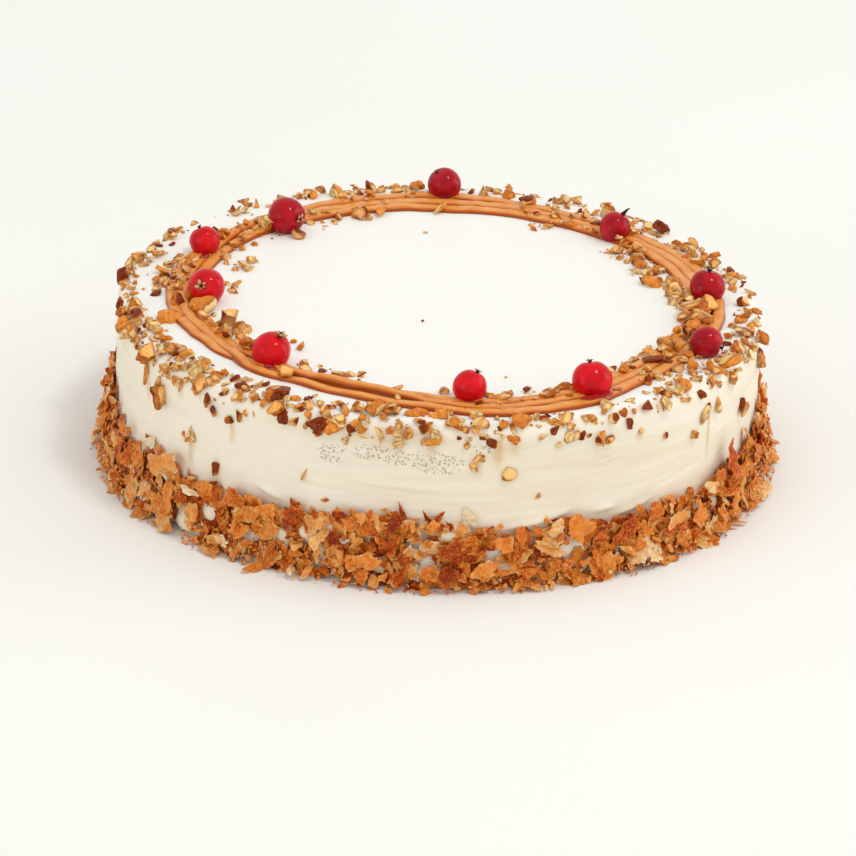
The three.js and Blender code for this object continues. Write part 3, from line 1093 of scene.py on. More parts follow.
        # A ribbon with a nearly flat top, rounded edges and upright flanks.
        power_across, power_up = self.squareness
        across = np.concatenate([np.sign(np.cos(turn)) * np.abs(np.cos(turn)) ** power_across, foot])
        rise = np.concatenate([np.sin(turn) ** power_up, np.zeros_like(foot)])
        under = np.arange(self.sides) >= len(turn)
        laid = Gathering()
        for index, (track, breadth, crest) in enumerate(self.threads(bearings)):
            places = on_circle(bearings, track, 0.0)
            drawn = self.ripple * Waviness(self.ripple_seed + index, self.ripple_length).at(places)
            rows = [
                on_circle(
                    bearings,
                    track + 0.5 * breadth * side,
                    CAKE_TOP + (-self.sunk if below else (crest + drawn) * up),
                )
                for side, up, below in zip(across, rise, under)
            ]
            # The crest value lets the material paint the sides and foot darker, as painted shade.
            values = {
                "crest": np.tile(smoothstep(0.55, 1.0, rise), self.columns),
                "across": np.tile(across * 2 * MM + index, self.columns),
            }
            laid.add(np.stack(rows, 1).reshape(-1, 3), [self.thread_faces()], values)
        piece = laid.build("butterscotch_threads", Butterscotch().material(), Slot.CARAMEL.value)
        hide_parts("caramel_ring")
        return piece

    def thread_faces(self) -> np.ndarray:
        """Quads of one thread, whose sections follow each other round the cake and close on the first."""
        section, side = np.meshgrid(np.arange(self.columns), np.arange(self.sides), indexing="ij")
        after = (section + 1) % self.columns
        beside = (side + 1) % self.sides
        corners = [(section, side), (after, side), (after, beside), (section, beside)]
        return np.stack([row * self.sides + place for row, place in corners], -1).reshape(-1, 4)


# --- The chopped nuts -----------------------------------------------------------------


class NutCut(Enum):
    """How a nut was chopped: its half length, half breadth and half thickness for a length of 1."""

    CHIP = (0.5, 0.39, 0.26)
    CHUNK = (0.5, 0.43, 0.35)
    SLIVER = (0.5, 0.2, 0.15)
    HALF = (0.5, 0.36, 0.29)
    SHELL = (0.5, 0.36, 0.09)


CHIP, CHUNK, SLIVER, HALF, SHELL = NutCut


@dataclass(frozen=True)
class NutPatch:
    """A stretch of the top where nuts were scattered, how many, how large for their kind, and how pale."""

    start: float
    end: float
    inner: float
    outer: float
    count: int
    size: float = 1.0
    tone: float = 0.6


@dataclass(frozen=True)
class PlacedNut:
    """One nut: where it is, its length in millimetres, its cut, its spin, its share of skin and its tone.

    On the top, place is the distance from the axis. On the side, place is the height. A spin of 0 lays it
    along the circle, and one of 90 stands it across.
    """

    bearing: float
    place: float
    length: float
    cut: NutCut = CHIP
    spin: float = 30.0
    skin: float = 0.0
    tone: float = 0.6


@dataclass
class NutShapes:
    """Cuts pieces of nut out of a rounded lump with flat knife cuts."""

    seed: int
    # The shortest piece that each fineness of lump is used for, in millimetres.
    fineness: tuple[tuple[float, int], ...] = ((0.0, 2), (3.3, 3), (6.9, 4))
    swelling: float = 0.14
    swelling_length: float = 1.3  # on a lump of radius 1, like the next
    graininess: float = 0.05
    grain_length: float = 0.5
    waves_apart: float = 40.0  # how far apart in the waves two pieces may be, so that no two are alike
    skin_side: tuple[float, float, float] = (0.0, 0.0, 0.6)  # where the skin mostly is
    shell_cut_tilt: float = 0.2  # how far the cuts of a shell lean
    cut_back: float = 0.94  # how flat a knife leaves the face of a cut, 1 being quite flat
    edge_breadth: float = 0.15
    skin_blur: float = 0.12
    cuts: tuple[int, int] = (4, 8)  # how many a piece has, the second number left out
    cut_depths: tuple[float, float] = (0.3, 0.7)
    shell_cuts: int = 3
    split_depth: float = 0.05  # of the flat side of a half kernel
    end_depth: float = 0.35  # of its broken end
    end_share: float = 0.5  # how many of the halves have one

    def __post_init__(self) -> None:
        """Makes the lumps that the pieces are cut from, coarse ones for the small pieces."""
        self.lumps: list[tuple[np.ndarray, np.ndarray]] = []
        for _, subdivisions in self.fineness:
            lump = bmesh.new()
            bmesh.ops.create_icosphere(lump, subdivisions=subdivisions, radius=1.0)
            points = np.array([vertex.co[:] for vertex in lump.verts])
            self.lumps.append(
                (points, np.array([[vertex.index for vertex in face.verts] for face in lump.faces]))
            )
            lump.free()
        self.rng = np.random.default_rng(self.seed)
        self.swell = Waviness(self.seed + 1, self.swelling_length)
        self.grain = Waviness(self.seed + 2, self.grain_length)

    def cut(
        self, kind: NutCut, length: float, skin: float
    ) -> tuple[np.ndarray, np.ndarray, dict[str, np.ndarray]]:
        """Cuts one piece.

        Args:
            kind: How it is chopped.
            length: Its length.
            skin: How much of it still has its skin, from 0 to 1.

        Returns:
            Its points about its own middle, its faces, and for each point how far it lies on a broken face
            (cut), on the edge of one (edge) and under skin (skin).
        """
        rng = self.rng
        fine_enough = [found for found, (least, _) in zip(self.lumps, self.fineness) if length >= least]
        lump, faces = fine_enough[-1]
        shifted = lump + rng.uniform(-self.waves_apart, self.waves_apart, 3)
        points = lump * (
            1 + self.swelling * self.swell.at(shifted) + self.graininess * self.grain.at(shifted)
        )[:, None]
        broken, edge = np.zeros(len(points)), np.zeros(len(points))
        for depth, direction in self.knife_cuts(kind):
            beyond = points @ direction - depth
            sliced = beyond > 0
            points[sliced] -= self.cut_back * np.outer(beyond[sliced], direction)
            broken[sliced] = 1.0
            edge = np.maximum(edge, np.exp(-((beyond / self.edge_breadth) ** 2)))
        side = rng.normal(size=3) + self.skin_side
        facing = lump @ (side / np.linalg.norm(side))
        bare, blur = 1 - 2 * skin, self.skin_blur
        skinned = smoothstep(bare - blur, bare + blur, facing) if skin > 0 else 0 * facing
        values = {"cut": broken, "edge": edge, "skin": skinned}
        return points * np.array(kind.value) * length, faces, values

    def knife_cuts(self, kind: NutCut) -> list[tuple[float, np.ndarray]]:
        """Draws the flat cuts of one piece, each as its depth and direction on the unit lump."""
        rng = self.rng
        if kind is HALF:
            # A half kernel: one flat face where it split, and now and then a broken end.
            end = (self.end_depth, np.array([1.0, 0.0, 0.0]))
            ends = [end] if rng.random() < self.end_share else []
            return [(self.split_depth, np.array([0.0, 0.0, -1.0]))] + ends
        count = self.shell_cuts if kind is SHELL else int(rng.integers(*self.cuts))
        directions = rng.normal(size=(count, 3)) * ([1, 1, self.shell_cut_tilt] if kind is SHELL else 1)
        directions /= np.linalg.norm(directions, axis=1, keepdims=True)
        return list(zip(rng.uniform(*self.cut_depths, count), directions))


@dataclass
class NutHeap:
    """Collects pieces of nut and joins them into one mesh."""

    name: str
    seed: int
    sharp_above: float = 38.0  # degrees
    seed_step: int = 50  # from the seed of the shapes to that of how they lie

    def __post_init__(self) -> None:
        """Starts with an empty heap."""
        self.shapes = NutShapes(self.seed)
        self.rng = np.random.default_rng(self.seed + self.seed_step)
        self.laid = Gathering()

    def lay(
        self, place: np.ndarray, normal: np.ndarray, nut: PlacedNut, tip: float = 0.25, sink: float = 0.22
    ) -> None:
        """Lays one piece on a surface.

        Args:
            place: The point of the surface under it.
            normal: The surface's normal there.
            nut: What the piece is.
            tip: How far it may be tipped out of the surface, in radians.
            sink: How much of its thickness is pressed into the surface.
        """
        points, faces, values = self.shapes.cut(nut.cut, nut.length, nut.skin)
        leaning = normal + tip * self.rng.normal(size=3)
        leaning /= np.linalg.norm(leaning)
        turned = points @ frames_on(leaning[None], np.array([math.radians(nut.spin)]))[0].T
        reach = turned @ normal
        lift = -reach.min() - sink * (reach.max() - reach.min())
        values["tone"] = np.full(len(points), nut.tone)
        self.laid.add(turned + place + lift * normal, [faces], values)

    def build(self, material: bpy.types.Material) -> bpy.types.Object:
        """Joins the heap into one piece."""
        return self.laid.build(self.name, material, Slot.CARAMEL.value, self.sharp_above)


@dataclass
class ChoppedNuts:
    """The chopped nuts on the rim, on the ring and on the side of the cake, sizes in millimetres."""

    coat: CreamCoat
    ring: ButterscotchRing
    seed: int = 77
    usual_length: float = 3.7
    mean_of_lengths: float = -0.06  # of the logarithm of length over usual length
    spread_of_lengths: float = 0.36
    spread_of_tones: float = 0.23
    # How many are chips, chunks, slivers, halves and shells.
    shares_of_cuts: tuple[float, ...] = (0.44, 0.27, 0.11, 0.13, 0.05)
    shortest: float = 1.5
    longest: float = 7.5
    crowding: float = 0.7  # how close two pieces may lie, as a share of their lengths
    tries: int = 12  # how often room is looked for before a piece is stacked on others
    stacked: float = 1.2  # how high it then lies
    skinned_share: float = 0.15
    skin_left: tuple[float, float] = (0.2, 0.6)  # how much of such a piece its skin covers
    side_tip: float = 0.15  # how far the nuts on the side are tipped, in radians
    side_sink: float = 0.34  # how much of their thickness is pressed in
    rim_patches: tuple[NutPatch, ...] = rows_of(
        NutPatch,
        (0, 19, 94, 101, 18), (19, 36, 89.5, 99, 20), (38, 46, 92, 97, 5), (46, 69, 92, 101, 26),
        (69, 94, 94, 103, 26), (94, 120, 94, 103, 32), (120, 130, 95, 103, 8), (130, 136, 95, 101.5, 7),
        (143, 146, 100, 102.5, 2), (149, 155, 96, 102, 7), (156, 170, 94, 101.5, 15),
        (170, 182, 96, 101.5, 9), (183, 190, 95, 99, 7), (189, 197, 95, 103, 15),
        (196, 222, 93, 104.5, 62), (222, 240, 92.5, 104.5, 26), (239, 264, 93.5, 104.5, 46),
        (264, 281, 94, 105, 16, 0.8), (281, 300, 98, 103.5, 9, 0.8), (300, 309, 97, 103, 4, 0.8),
        (309, 324, 94.5, 104, 20), (324, 336, 96, 104, 16), (336, 349, 94, 103, 17),
        (349, 360, 93, 101.5, 10),
    )
    ring_patches: tuple[NutPatch, ...] = rows_of(
        NutPatch,
        (3, 12, 73, 78, 5, 1.3), (12, 22, 67, 76, 12, 1.1, 0.55), (18, 35, 69, 77, 12, 1.2, 0.5),
        (24, 40, 69, 79, 10, 1.1), (38, 60, 76, 90, 20), (60, 67, 68, 75, 4), (58, 72, 79, 90, 10),
        (95, 112, 81, 91, 9), (109, 114, 68, 78, 3), (117, 126, 68, 81, 8),
        (137, 153, 72, 86, 18, 1, 0.45), (157, 167, 64, 77, 8), (164, 184, 80, 90, 34),
        (175, 182, 63.5, 68, 4), (186, 199, 73, 79, 5), (200, 222, 70, 78, 16, 1.1, 0.3),
        (236, 242, 70, 76, 4), (245, 254, 70, 75, 4), (279, 299, 79, 91, 18, 0.8),
        (313, 338, 76, 92, 32, 1.15), (336, 360, 75.5, 87, 22, 1.3, 0.65), (0, 9, 74, 80, 4, 1.2),
    )
    # Single nuts on the top, read off the photograph: bearing, distance, length, cut, spin, skin, tone.
    nuts_on_top: tuple[tuple[Any, ...], ...] = (
        (197, 87, 9, HALF, 60, 0, 0.75), (190.5, 83, 5, HALF, 20, 0.4, 0.3),
        (195, 75.5, 9.5, HALF, -30, 0, 0.7), (205.5, 71.5, 8, CHUNK, 20, 0.15, 0.3),
        (210.5, 70.5, 6, CHIP, 70, 0, 0.4), (105, 76.5, 9, SLIVER, 80, 0, 0.9),
        (90.5, 75.5, 6, SLIVER, 85, 0, 0.8), (111.5, 73, 6, CHUNK, 60, 0.3, 0.3),
        (134.5, 67, 5, CHUNK, 10, 0.2, 0.4), (146, 90, 4.5, SHELL, 10, 1, 0.1),
        (176, 100, 8, CHIP, 95, 0.7, 0.2), (223.5, 61, 2.6), (228, 62.5, 3.6), (178, 90, 3.4),
        (218.5, 100, 4.8, CHIP, 20, 0, 0.8), (221, 104, 3.6), (222.5, 98.5, 5.6, CHIP, 0, 0, 1),
        (224.5, 101, 6, HALF, 20, 0, 0.5), (228, 99.5, 5, CHIP, 50, 0.4, 0.4), (230.5, 98.5, 1.6),
        (234, 97.5, 4.8, CHIP, 10, 0.5, 0.5), (237, 100, 4.8, CHIP, 70, 0, 0.5),
        (236, 92, 3.4, CHIP, 0, 0.3, 0.3), (241, 97, 7.5, CHIP, -5, 0.5, 0.35),
        (237, 83.5, 5, CHUNK, 20, 0, 0.25), (244, 100.5, 2.4, CHIP, 0, 0, 1),
        (246.5, 100.5, 4, CHIP, 10, 0.4, 0.5), (231, 102, 2.6, CHIP, 0, 0.5),
        (247.5, 98.5, 4, CHIP, 0, 0, 0.5), (261, 98.5, 3.2, CHUNK, 80, 0, 0.7), (262.5, 86.5, 2.2),
        (261.5, 79.5, 3, CHIP, 0, 0, 0.35), (267, 94, 6.3, HALF, 5, 0.15, 0.6),
        (271.5, 95, 6.6, HALF, 0, 0, 0.85), (272, 77.5, 4, CHUNK),
        (264, 102.5, 3.8, CHUNK, 80, 0, 0.75), (267.5, 99.5, 3.4, CHIP, 0, 0.3, 0.3), (269, 100, 3.2),
        (268, 102, 3.6, CHIP, 60, 0.4, 0.35), (269, 102, 2.8, CHIP, 0, 0, 0.7),
        (270, 103.5, 3.8, CHIP, 0, 0, 0.9), (274, 99.5, 4.6, CHUNK, 0, 0, 0.8),
        (272.5, 100, 3.4, CHIP, 0, 0, 0.5), (275, 101.5, 3, CHIP, 0, 0, 0.3),
        (277.5, 96, 4.2, CHIP, 20, 0, 1), (277.5, 100.5, 4.8, CHUNK, 0, 0, 0.55),
        (274, 104, 1.4, CHIP, 0, 1), (275.5, 104.5, 2.4, CHIP, 0, 0, 0.9),
        (278, 103.5, 2.6, CHIP, 0, 0.4), (281, 101.5, 2.4, CHIP, 0, 1),
        (281, 103.5, 2.6, CHIP, 0, 0, 0.8), (283, 102.5, 2.6, CHIP, 0, 0, 0.9),
        (284.5, 100, 6, CHUNK, 0, 0, 0.6), (287.5, 101.5, 2.2, CHIP, 0, 0, 0.4),
        (288, 104.5, 3.6, CHIP, 20, 0, 0.8), (289, 99.5, 3, CHIP, 0, 0.6),
        (290.5, 100.5, 3.4, CHIP, 0, 0, 0.75), (290, 103, 3.2, CHIP, 40, 0.8),
        (291, 101.5, 3, CHIP, 0, 0, 0.4), (292.5, 100.5, 4.4, CHIP, 30, 0, 0.5),
        (293, 102.5, 3.2, CHIP, 0, 0, 0.3), (296, 101, 4.2, CHIP, 0, 0.45), (297.5, 102.5, 2.4),
        (298, 101.5, 2), (284, 85, 3.6, CHIP, 60, 0, 1), (290, 79, 3.8, CHIP, 20, 0.6),
        (292, 86.5, 3.4, CHIP, 0, 0, 0.3), (293.5, 86.5, 3, CHIP, 0, 0, 0.3),
        (298, 81.5, 5.6, CHIP, 10, 0, 0.25), (278.5, 88.5, 3.6, SHELL, 0, 0.8), (281.5, 81, 3.6),
        (280, 79.5, 3, CHIP, 0, 0.3), (328, 76.5, 4.2), (328.5, 81, 5, CHIP, 0, 0, 0.4),
        (316, 81.5, 3.4, SHELL, 0, 1), (318, 76, 2), (334, 80.5, 6, HALF, 60), (328.5, 87.5, 4.6),
        (326, 93.5, 4), (322.5, 99, 4.6), (332, 100, 7, CHIP, 60, 0, 0.8), (328, 100.5, 4.6),
        (339.5, 99, 6, CHIP, 10), (346, 98, 6, CHIP, 60, 0.5), (317.5, 99.5, 5.5), (318.5, 98, 4),
        (316.5, 100.5, 4), (317.5, 91.5, 4.4), (312.5, 102, 5.2, CHIP, 20, 0, 0.8),
        (306.5, 98, 3.6, SLIVER, 0), (301, 98.5, 4.4, CHIP, 10, 0, 0.8),
        (301.5, 102.5, 4.2, CHIP, 0, 0.2), (308.5, 101.5, 4.4, CHIP, 0, 0.8),
        (352, 80, 9, CHUNK, 20, 0, 0.3), (347, 83.5, 7.5, CHUNK, 60, 0, 0.35),
        (356, 85, 7, CHUNK, -20, 0, 0.3), (257, 22, 1.2, CHUNK, 0, 1, 0),
        (95.5, 56, 1.6, CHIP, 0, 0, 0.7), (288, 67.5, 1.3, CHIP, 0, 0, 0.6),
    )
    # Single nuts on the side: bearing, height, length, cut, spin, skin, tone.
    nuts_on_side: tuple[tuple[Any, ...], ...] = (
        (196.5, 49.5, 6, CHUNK, 60, 0, 0.8), (210, 44.5, 8, SLIVER, 85, 0, 0.7),
        (214.5, 43.5, 5, CHIP, 70, 0, 0.75), (215.5, 41.5, 6.5, CHUNK, -60, 0.55, 0.35),
        (221, 47, 4.6, SLIVER, 60, 0, 0.4), (228, 46.5, 3.8, CHIP, 80, 0.3, 0.1),
        (229.5, 44, 3.4, CHIP, -70, 0.6, 0.1), (231.5, 50.5, 2.8, CHIP, 0, 0.1, 0.2),
        (233, 42.5, 4.6, CHIP, 85, 0.3, 0.25), (235, 44.5, 4.4, CHIP, -60, 0.5, 0.3),
        (236.5, 46, 3, CHIP, 60, 0, 0.9), (224, 33.5, 5.2, CHIP, 65, 0, 0.85),
        (222, 31.5, 2.4, CHIP, 80, 0, 0.35), (230, 25.5, 5, CHUNK, 60, 0.35, 0.3),
        (248, 32, 4.2, SLIVER, 70, 0, 0.3), (251.5, 24.5, 2.4, CHUNK, 20, 0, 0.3),
        (250.5, 47, 4.2, HALF, 80, 0, 0.2), (253.5, 49, 6.5, CHIP, 10, 0, 0.85),
        (255, 44.5, 3.6, CHIP, 80, 0, 0.9), (256, 48.5, 3.4, CHIP, 45, 1, 0.1),
        (264, 46.5, 4.6, CHIP, 70, 0, 0.85), (270, 47, 4.6, CHIP, 30, 0, 0.8), (275.5, 45.5, 2.2),
        (279.5, 47, 3.6, CHIP, -30, 0.7, 0.2), (283, 47, 3.8, CHIP, 10, 0, 0.5),
        (284, 47, 3, CHIP, 60, 0, 1), (291, 44.5, 2.6, CHIP, 85, 0, 0.8),
        (293.5, 46, 5.6, CHIP, 10, 0, 0.8), (295, 46, 3, CHIP, 70, 1, 0.1),
        (296.5, 46, 2, CHIP, 0, 0.3, 0.1), (277.5, 41, 3.4, CHIP, 40, 0.1, 0.4),
        (276.5, 38.5, 3, CHIP, 70, 0, 0.5), (282.5, 36.5, 4.4, CHUNK, 20, 0, 0.55),
        (287.5, 28, 2.8, CHIP, 80, 0, 0.5), (298.5, 44.5, 5, CHIP, 10, 0.2, 0.8),
        (300.5, 43.5, 3.6, CHIP, 30, 0.3), (304.5, 46.5, 4.8, SHELL, 70, 1, 0.1), (307, 43.5, 2.6),
        (312.5, 39.5, 2.4, CHUNK, 20, 0.6, 0.2), (320, 36.5, 4.6, CHUNK, 20, 0.55, 0.2),
        (323, 41, 5.4, CHIP, 70, 0.15, 0.9), (327, 41, 5.6, SLIVER, 85, 0, 0.8),
        (337.5, 34, 6, CHIP, 75, 0.25), (324, 43.5, 2, CHIP, 0, 0.9), (332, 47.5, 5.2),
        (349, 42, 7, CHIP, 60, 0.4), (14, 43, 4, CHIP, 20, 0.1), (33, 38, 3.4, CHUNK, 60),
        (52, 45, 4.6, CHIP, 70, 0.4, 0.3), (71, 41, 3), (88, 44.5, 4.4, SLIVER, 80),
        (103, 36, 3, CHIP, 40, 0.6, 0.2), (118, 45, 4.2, CHIP, 50), (137, 42, 3.6, CHUNK, 0),
        (156, 44, 4.2, CHIP, 80, 0.3), (174, 45.5, 4, CHIP, 30, 0, 0.8),
    )
    shown_share: float = 0.87  # of the length of a single nut, the rest being sunk or turned away
    crumbs: int = 420
    crumb_lengths: tuple[float, float] = (0.8, 1.6)
    crumb_tone: float = 0.55
    crumb_spread: float = 2.2  # how far the crumbs lie from the nuts, outwards or inwards
    crumb_turn: float = 1.8  # how far they lie from them round the cake, in degrees
    crumb_reach: tuple[float, float] = (66.0, 105.5)  # the distances from the axis between which they lie

    def scatter(
        self, heap: NutHeap, patches: Sequence[NutPatch], rng: np.random.Generator
    ) -> list[tuple[float, float, float]]:
        """Scatters nuts over stretches of the top and rim, few of them touching.

        Args:
            heap: The heap that they join.
            patches: Where they go.
            rng: The source of chance.

        Returns:
            Bearing, distance and length of each nut.
        """
        taken: list[tuple[float, float, float]] = []
        for patch in patches:
            for _ in range(patch.count):
                drawn = self.usual_length * patch.size * rng.lognormal(
                    self.mean_of_lengths, self.spread_of_lengths
                )
                length = float(np.clip(drawn, self.shortest, self.longest))
                bearing, distance, stacked = self.free_spot(patch, length, taken, rng)
                taken.append((bearing, distance, length))
                self.lay_on_top(heap, self.random_nut(taken[-1], patch.tone, rng), stacked)
        return taken

    def free_spot(
        self,
        patch: NutPatch,
        length: float,
        taken: list[tuple[float, float, float]],
        rng: np.random.Generator,
    ) -> tuple[float, float, float]:
        """Looks for room for one more nut.

        Args:
            patch: Where to look.
            length: The nut's length.
            taken: Bearing, distance and length of each nut that is there already.
            rng: The source of chance.

        Returns:
            The bearing and distance, and how high the nut must be lifted to lie on others.
        """
        bearing, distance = patch.start, patch.inner
        for _ in range(self.tries):
            bearing = float(rng.uniform(patch.start, patch.end))
            distance = float(rng.uniform(patch.inner, patch.outer))
            if all(
                math.hypot(math.radians(float(apart(there, bearing))) * distance, far - distance)
                > self.crowding * (length + other) / 2
                for there, far, other in taken
            ):
                return bearing, distance, 0.0
        return bearing, distance, self.stacked

    def random_nut(
        self, spot: tuple[float, float, float], tone: float, rng: np.random.Generator
    ) -> PlacedNut:
        """Draws one nut.

        Args:
            spot: Its bearing, its distance from the axis and its length.
            tone: How pale the nuts are round there.
            rng: The source of chance.

        Returns:
            The nut.
        """
        kinds = list(NutCut)
        kind = kinds[int(rng.choice(len(kinds), p=self.shares_of_cuts))]
        skin = float(rng.uniform(*self.skin_left)) if rng.random() < self.skinned_share else 0.0
        if kind is SHELL:
            skin = 1.0
        shade = float(np.clip(rng.normal(tone, self.spread_of_tones), 0, 1))
        return PlacedNut(*spot, kind, float(rng.uniform(0, 360)), skin, shade)

    def sprinkle(
        self, heap: NutHeap, taken: list[tuple[float, float, float]], rng: np.random.Generator
    ) -> None:
        """Drops crumbs near the nuts that are there.

        Args:
            heap: The heap that they join.
            taken: Bearing, distance and length of each nut.
            rng: The source of chance.
        """
        for _ in range(self.crumbs):
            bearing, distance, _ = taken[int(rng.integers(len(taken)))]
            distance = float(np.clip(distance + rng.normal(0, self.crumb_spread), *self.crumb_reach))
            bearing += float(rng.normal(0, self.crumb_turn))
            spot = (bearing, distance, float(rng.uniform(*self.crumb_lengths)))
            self.lay_on_top(heap, self.random_nut(spot, self.crumb_tone, rng))

    def lay_on_top(self, heap: NutHeap, nut: PlacedNut, lift: float = 0.0) -> None:
        """Lays a nut on the top or the rim, on the ring where that is under it."""
        place, normal = self.coat.seat(np.array(nut.bearing), np.array(nut.place))
        raised = float(self.ring.resting_height(np.array([nut.bearing]), np.array([nut.place]))[0])
        heap.lay(place + (raised + lift) * normal, normal, nut)

    def lay_on_side(self, heap: NutHeap, nut: PlacedNut) -> None:
        """Presses a nut into the side."""
        side_top = self.coat.height - self.coat.rim_rounding
        if nut.place > side_top:
            over = math.asin(min((nut.place - side_top) / self.coat.rim_rounding, 1))
            arc = self.coat.rim_rounding * (math.pi / 2 - over)
            distance = self.coat.radius - self.coat.rim_rounding + arc
            place, normal = self.coat.seat(np.array(nut.bearing), np.array(distance))
        else:
            place = on_circle(np.array(nut.bearing), np.array(self.coat.radius), np.array(nut.place))
            normal = on_circle(np.array(nut.bearing), np.array(1.0), np.array(0.0))
        heap.lay(place, normal, nut, self.side_tip, self.side_sink)

    def build(self) -> list[bpy.types.Object]:
        """Builds the nuts on the rim, on the ring and on the side."""
        material = RoastedNut().material()
        rng = np.random.default_rng(self.seed)
        rim = NutHeap("chopped_nuts_on_the_rim", seed=101)
        on_rim = self.scatter(rim, self.rim_patches, rng)
        ring = NutHeap("chopped_nuts_on_the_ring", seed=202)
        on_ring = self.scatter(ring, self.ring_patches, rng)
        single = NutHeap("chopped_nuts_lying_singly", seed=303)
        for bearing, place, length, *rest in self.nuts_on_top:
            self.lay_on_top(single, PlacedNut(bearing, place, length / self.shown_share, *rest))
        for bearing, place, length, *rest in self.nuts_on_side:
            self.lay_on_side(single, PlacedNut(bearing, place, length / self.shown_share, *rest))
        self.sprinkle(single, on_rim + on_ring, rng)
        return [heap.build(material) for heap in (rim, ring, single)]


# --- The wafer skirt ------------------------------------------------------------------


@dataclass(frozen=True)
class FlakeLayer:
    """One layer of broken wafer: how fine its mesh is, what its flakes are like and how they lie."""

    name: str
    spokes: int
    rings: tuple[float, ...]
    thickness: float
    curl: float
    count: int
    sizes: tuple[float, float]
    seed: int
    # The bed's low tone is painted shade for the layer that lies deepest, under the other flakes.
    tone: float  # how pale its flakes are
    lift: tuple[float, float]  # how far it stands off the cream, as shares of the skirt's depth
    band: tuple[float, float] = (0.0, 1.0)  # the levels that it lies at, as shares of the skirt's height
    tilt: float = 1.0


@dataclass
class FlakeShapes:
    """Breaks thin wafer into flakes: curved, blistered plates with a cracked outline."""

    layer: FlakeLayer
    breaks: int = 6
    break_turn: float = 0.5  # how far a break is turned out of its place, in radians
    break_depths: tuple[float, float] = (0.48, 1.0)
    missing_share: float = 0.1  # of the breaks, which makes the corners beside them longer
    longest_corner: float = 1.4
    teeth: tuple[float, float] = (0.86, 1.08)
    bite_share: float = 0.1
    bite_depth: float = 0.74
    bend: float = 0.03  # how much a flake is bent as a whole, per millimetre
    buckle: float = 0.34
    buckle_length: float = 4.2
    blister: float = 0.15
    blister_length: float = 1.7
    rim_thinning: float = 0.55
    waves_apart: float = 500.0  # how far apart in the waves two flakes may be, so that no two are alike

    def __post_init__(self) -> None:
        """Draws the faces of one flake, which every flake of this layer shares."""
        spokes, rings = self.layer.spokes, len(self.layer.rings)
        top = 1 + spokes * rings
        faces = [fan_faces(0, 1, spokes), fan_faces(top, top + 1, spokes, turned=True)]
        if rings > 1:
            faces += [band_faces(rings, spokes, 1)[:, ::-1], band_faces(rings, spokes, top + 1)]
        last = 1 + spokes * (rings - 1)
        spoke = np.arange(spokes)
        beside = (spoke + 1) % spokes
        edge = np.stack([last + spoke, last + beside, top + last + beside, top + last + spoke], -1)
        self.faces = faces + [edge[:, ::-1]]
        self.count = 2 * top

    def outline(self, rng: np.random.Generator, count: int) -> np.ndarray:
        """Draws cracked outlines: a few straight breaks with sharp corners, teeth and now and then a bite.

        Args:
            rng: The source of chance.
            count: How many flakes.

        Returns:
            The reach of each spoke of each flake, mostly near 1.
        """
        spokes = self.layer.spokes
        angles = full_turn(spokes)
        slots = full_turn(self.breaks)
        facing = slots + rng.uniform(-self.break_turn, self.break_turn, (count, self.breaks))
        depth = rng.uniform(*self.break_depths, (count, self.breaks))
        depth = np.where(rng.random((count, self.breaks)) < self.missing_share, np.inf, depth)
        cosine = np.cos(angles[None, :, None] - facing[:, None, :])
        least = 0.2  # below this a spoke runs nearly beside the break and never meets it
        reach = np.where(cosine > least, depth[:, None, :] / np.maximum(cosine, least), np.inf)
        reach = np.minimum(reach.min(axis=2), self.longest_corner)
        reach = reach * rng.uniform(*self.teeth, (count, spokes))
        return np.where(rng.random((count, spokes)) < self.bite_share, self.bite_depth, 1.0) * reach

    def cut(
        self, rng: np.random.Generator, broad: np.ndarray, tall: np.ndarray
    ) -> tuple[np.ndarray, np.ndarray]:
        """Breaks out flakes.

        Args:
            rng: The source of chance.
            broad: The breadth of each flake.
            tall: The height of each flake.

        Returns:
            The points of each flake about its own middle, and how near each point is to the rim.
        """
        count = len(broad)
        layer = self.layer
        angles = full_turn(layer.spokes)
        shares = np.array(layer.rings)
        grid = shares[None, :, None] * self.outline(rng, count)[:, None, :]
        middle = np.zeros((count, 1))
        across = np.hstack([middle, (grid * np.cos(angles) * broad[:, None, None] / 2).reshape(count, -1)])
        along = np.hstack([middle, (grid * np.sin(angles) * tall[:, None, None] / 2).reshape(count, -1)])
        rim = np.concatenate([[0.0], np.repeat(shares, layer.spokes)])
        shift = rng.uniform(-self.waves_apart, self.waves_apart, (count, 1, 3))
        shifted = np.stack([across, along, 0 * across], -1) + shift
        bend = rng.normal(0, self.bend, (count, 2)) * layer.curl
        rise = bend[:, :1] * across**2 + bend[:, 1:] * along**2
        rise += self.buckle * layer.curl * Waviness(layer.seed, self.buckle_length).at(shifted)
        rise += self.blister * layer.curl * Waviness(layer.seed + 1, self.blister_length).at(shifted)
        half = layer.thickness * (1 - self.rim_thinning * rim) / 2
        sides = [np.stack([across, along, rise + side * half], -1) for side in (1, -1)]
        return np.concatenate(sides, axis=1), np.tile(rim, 2)


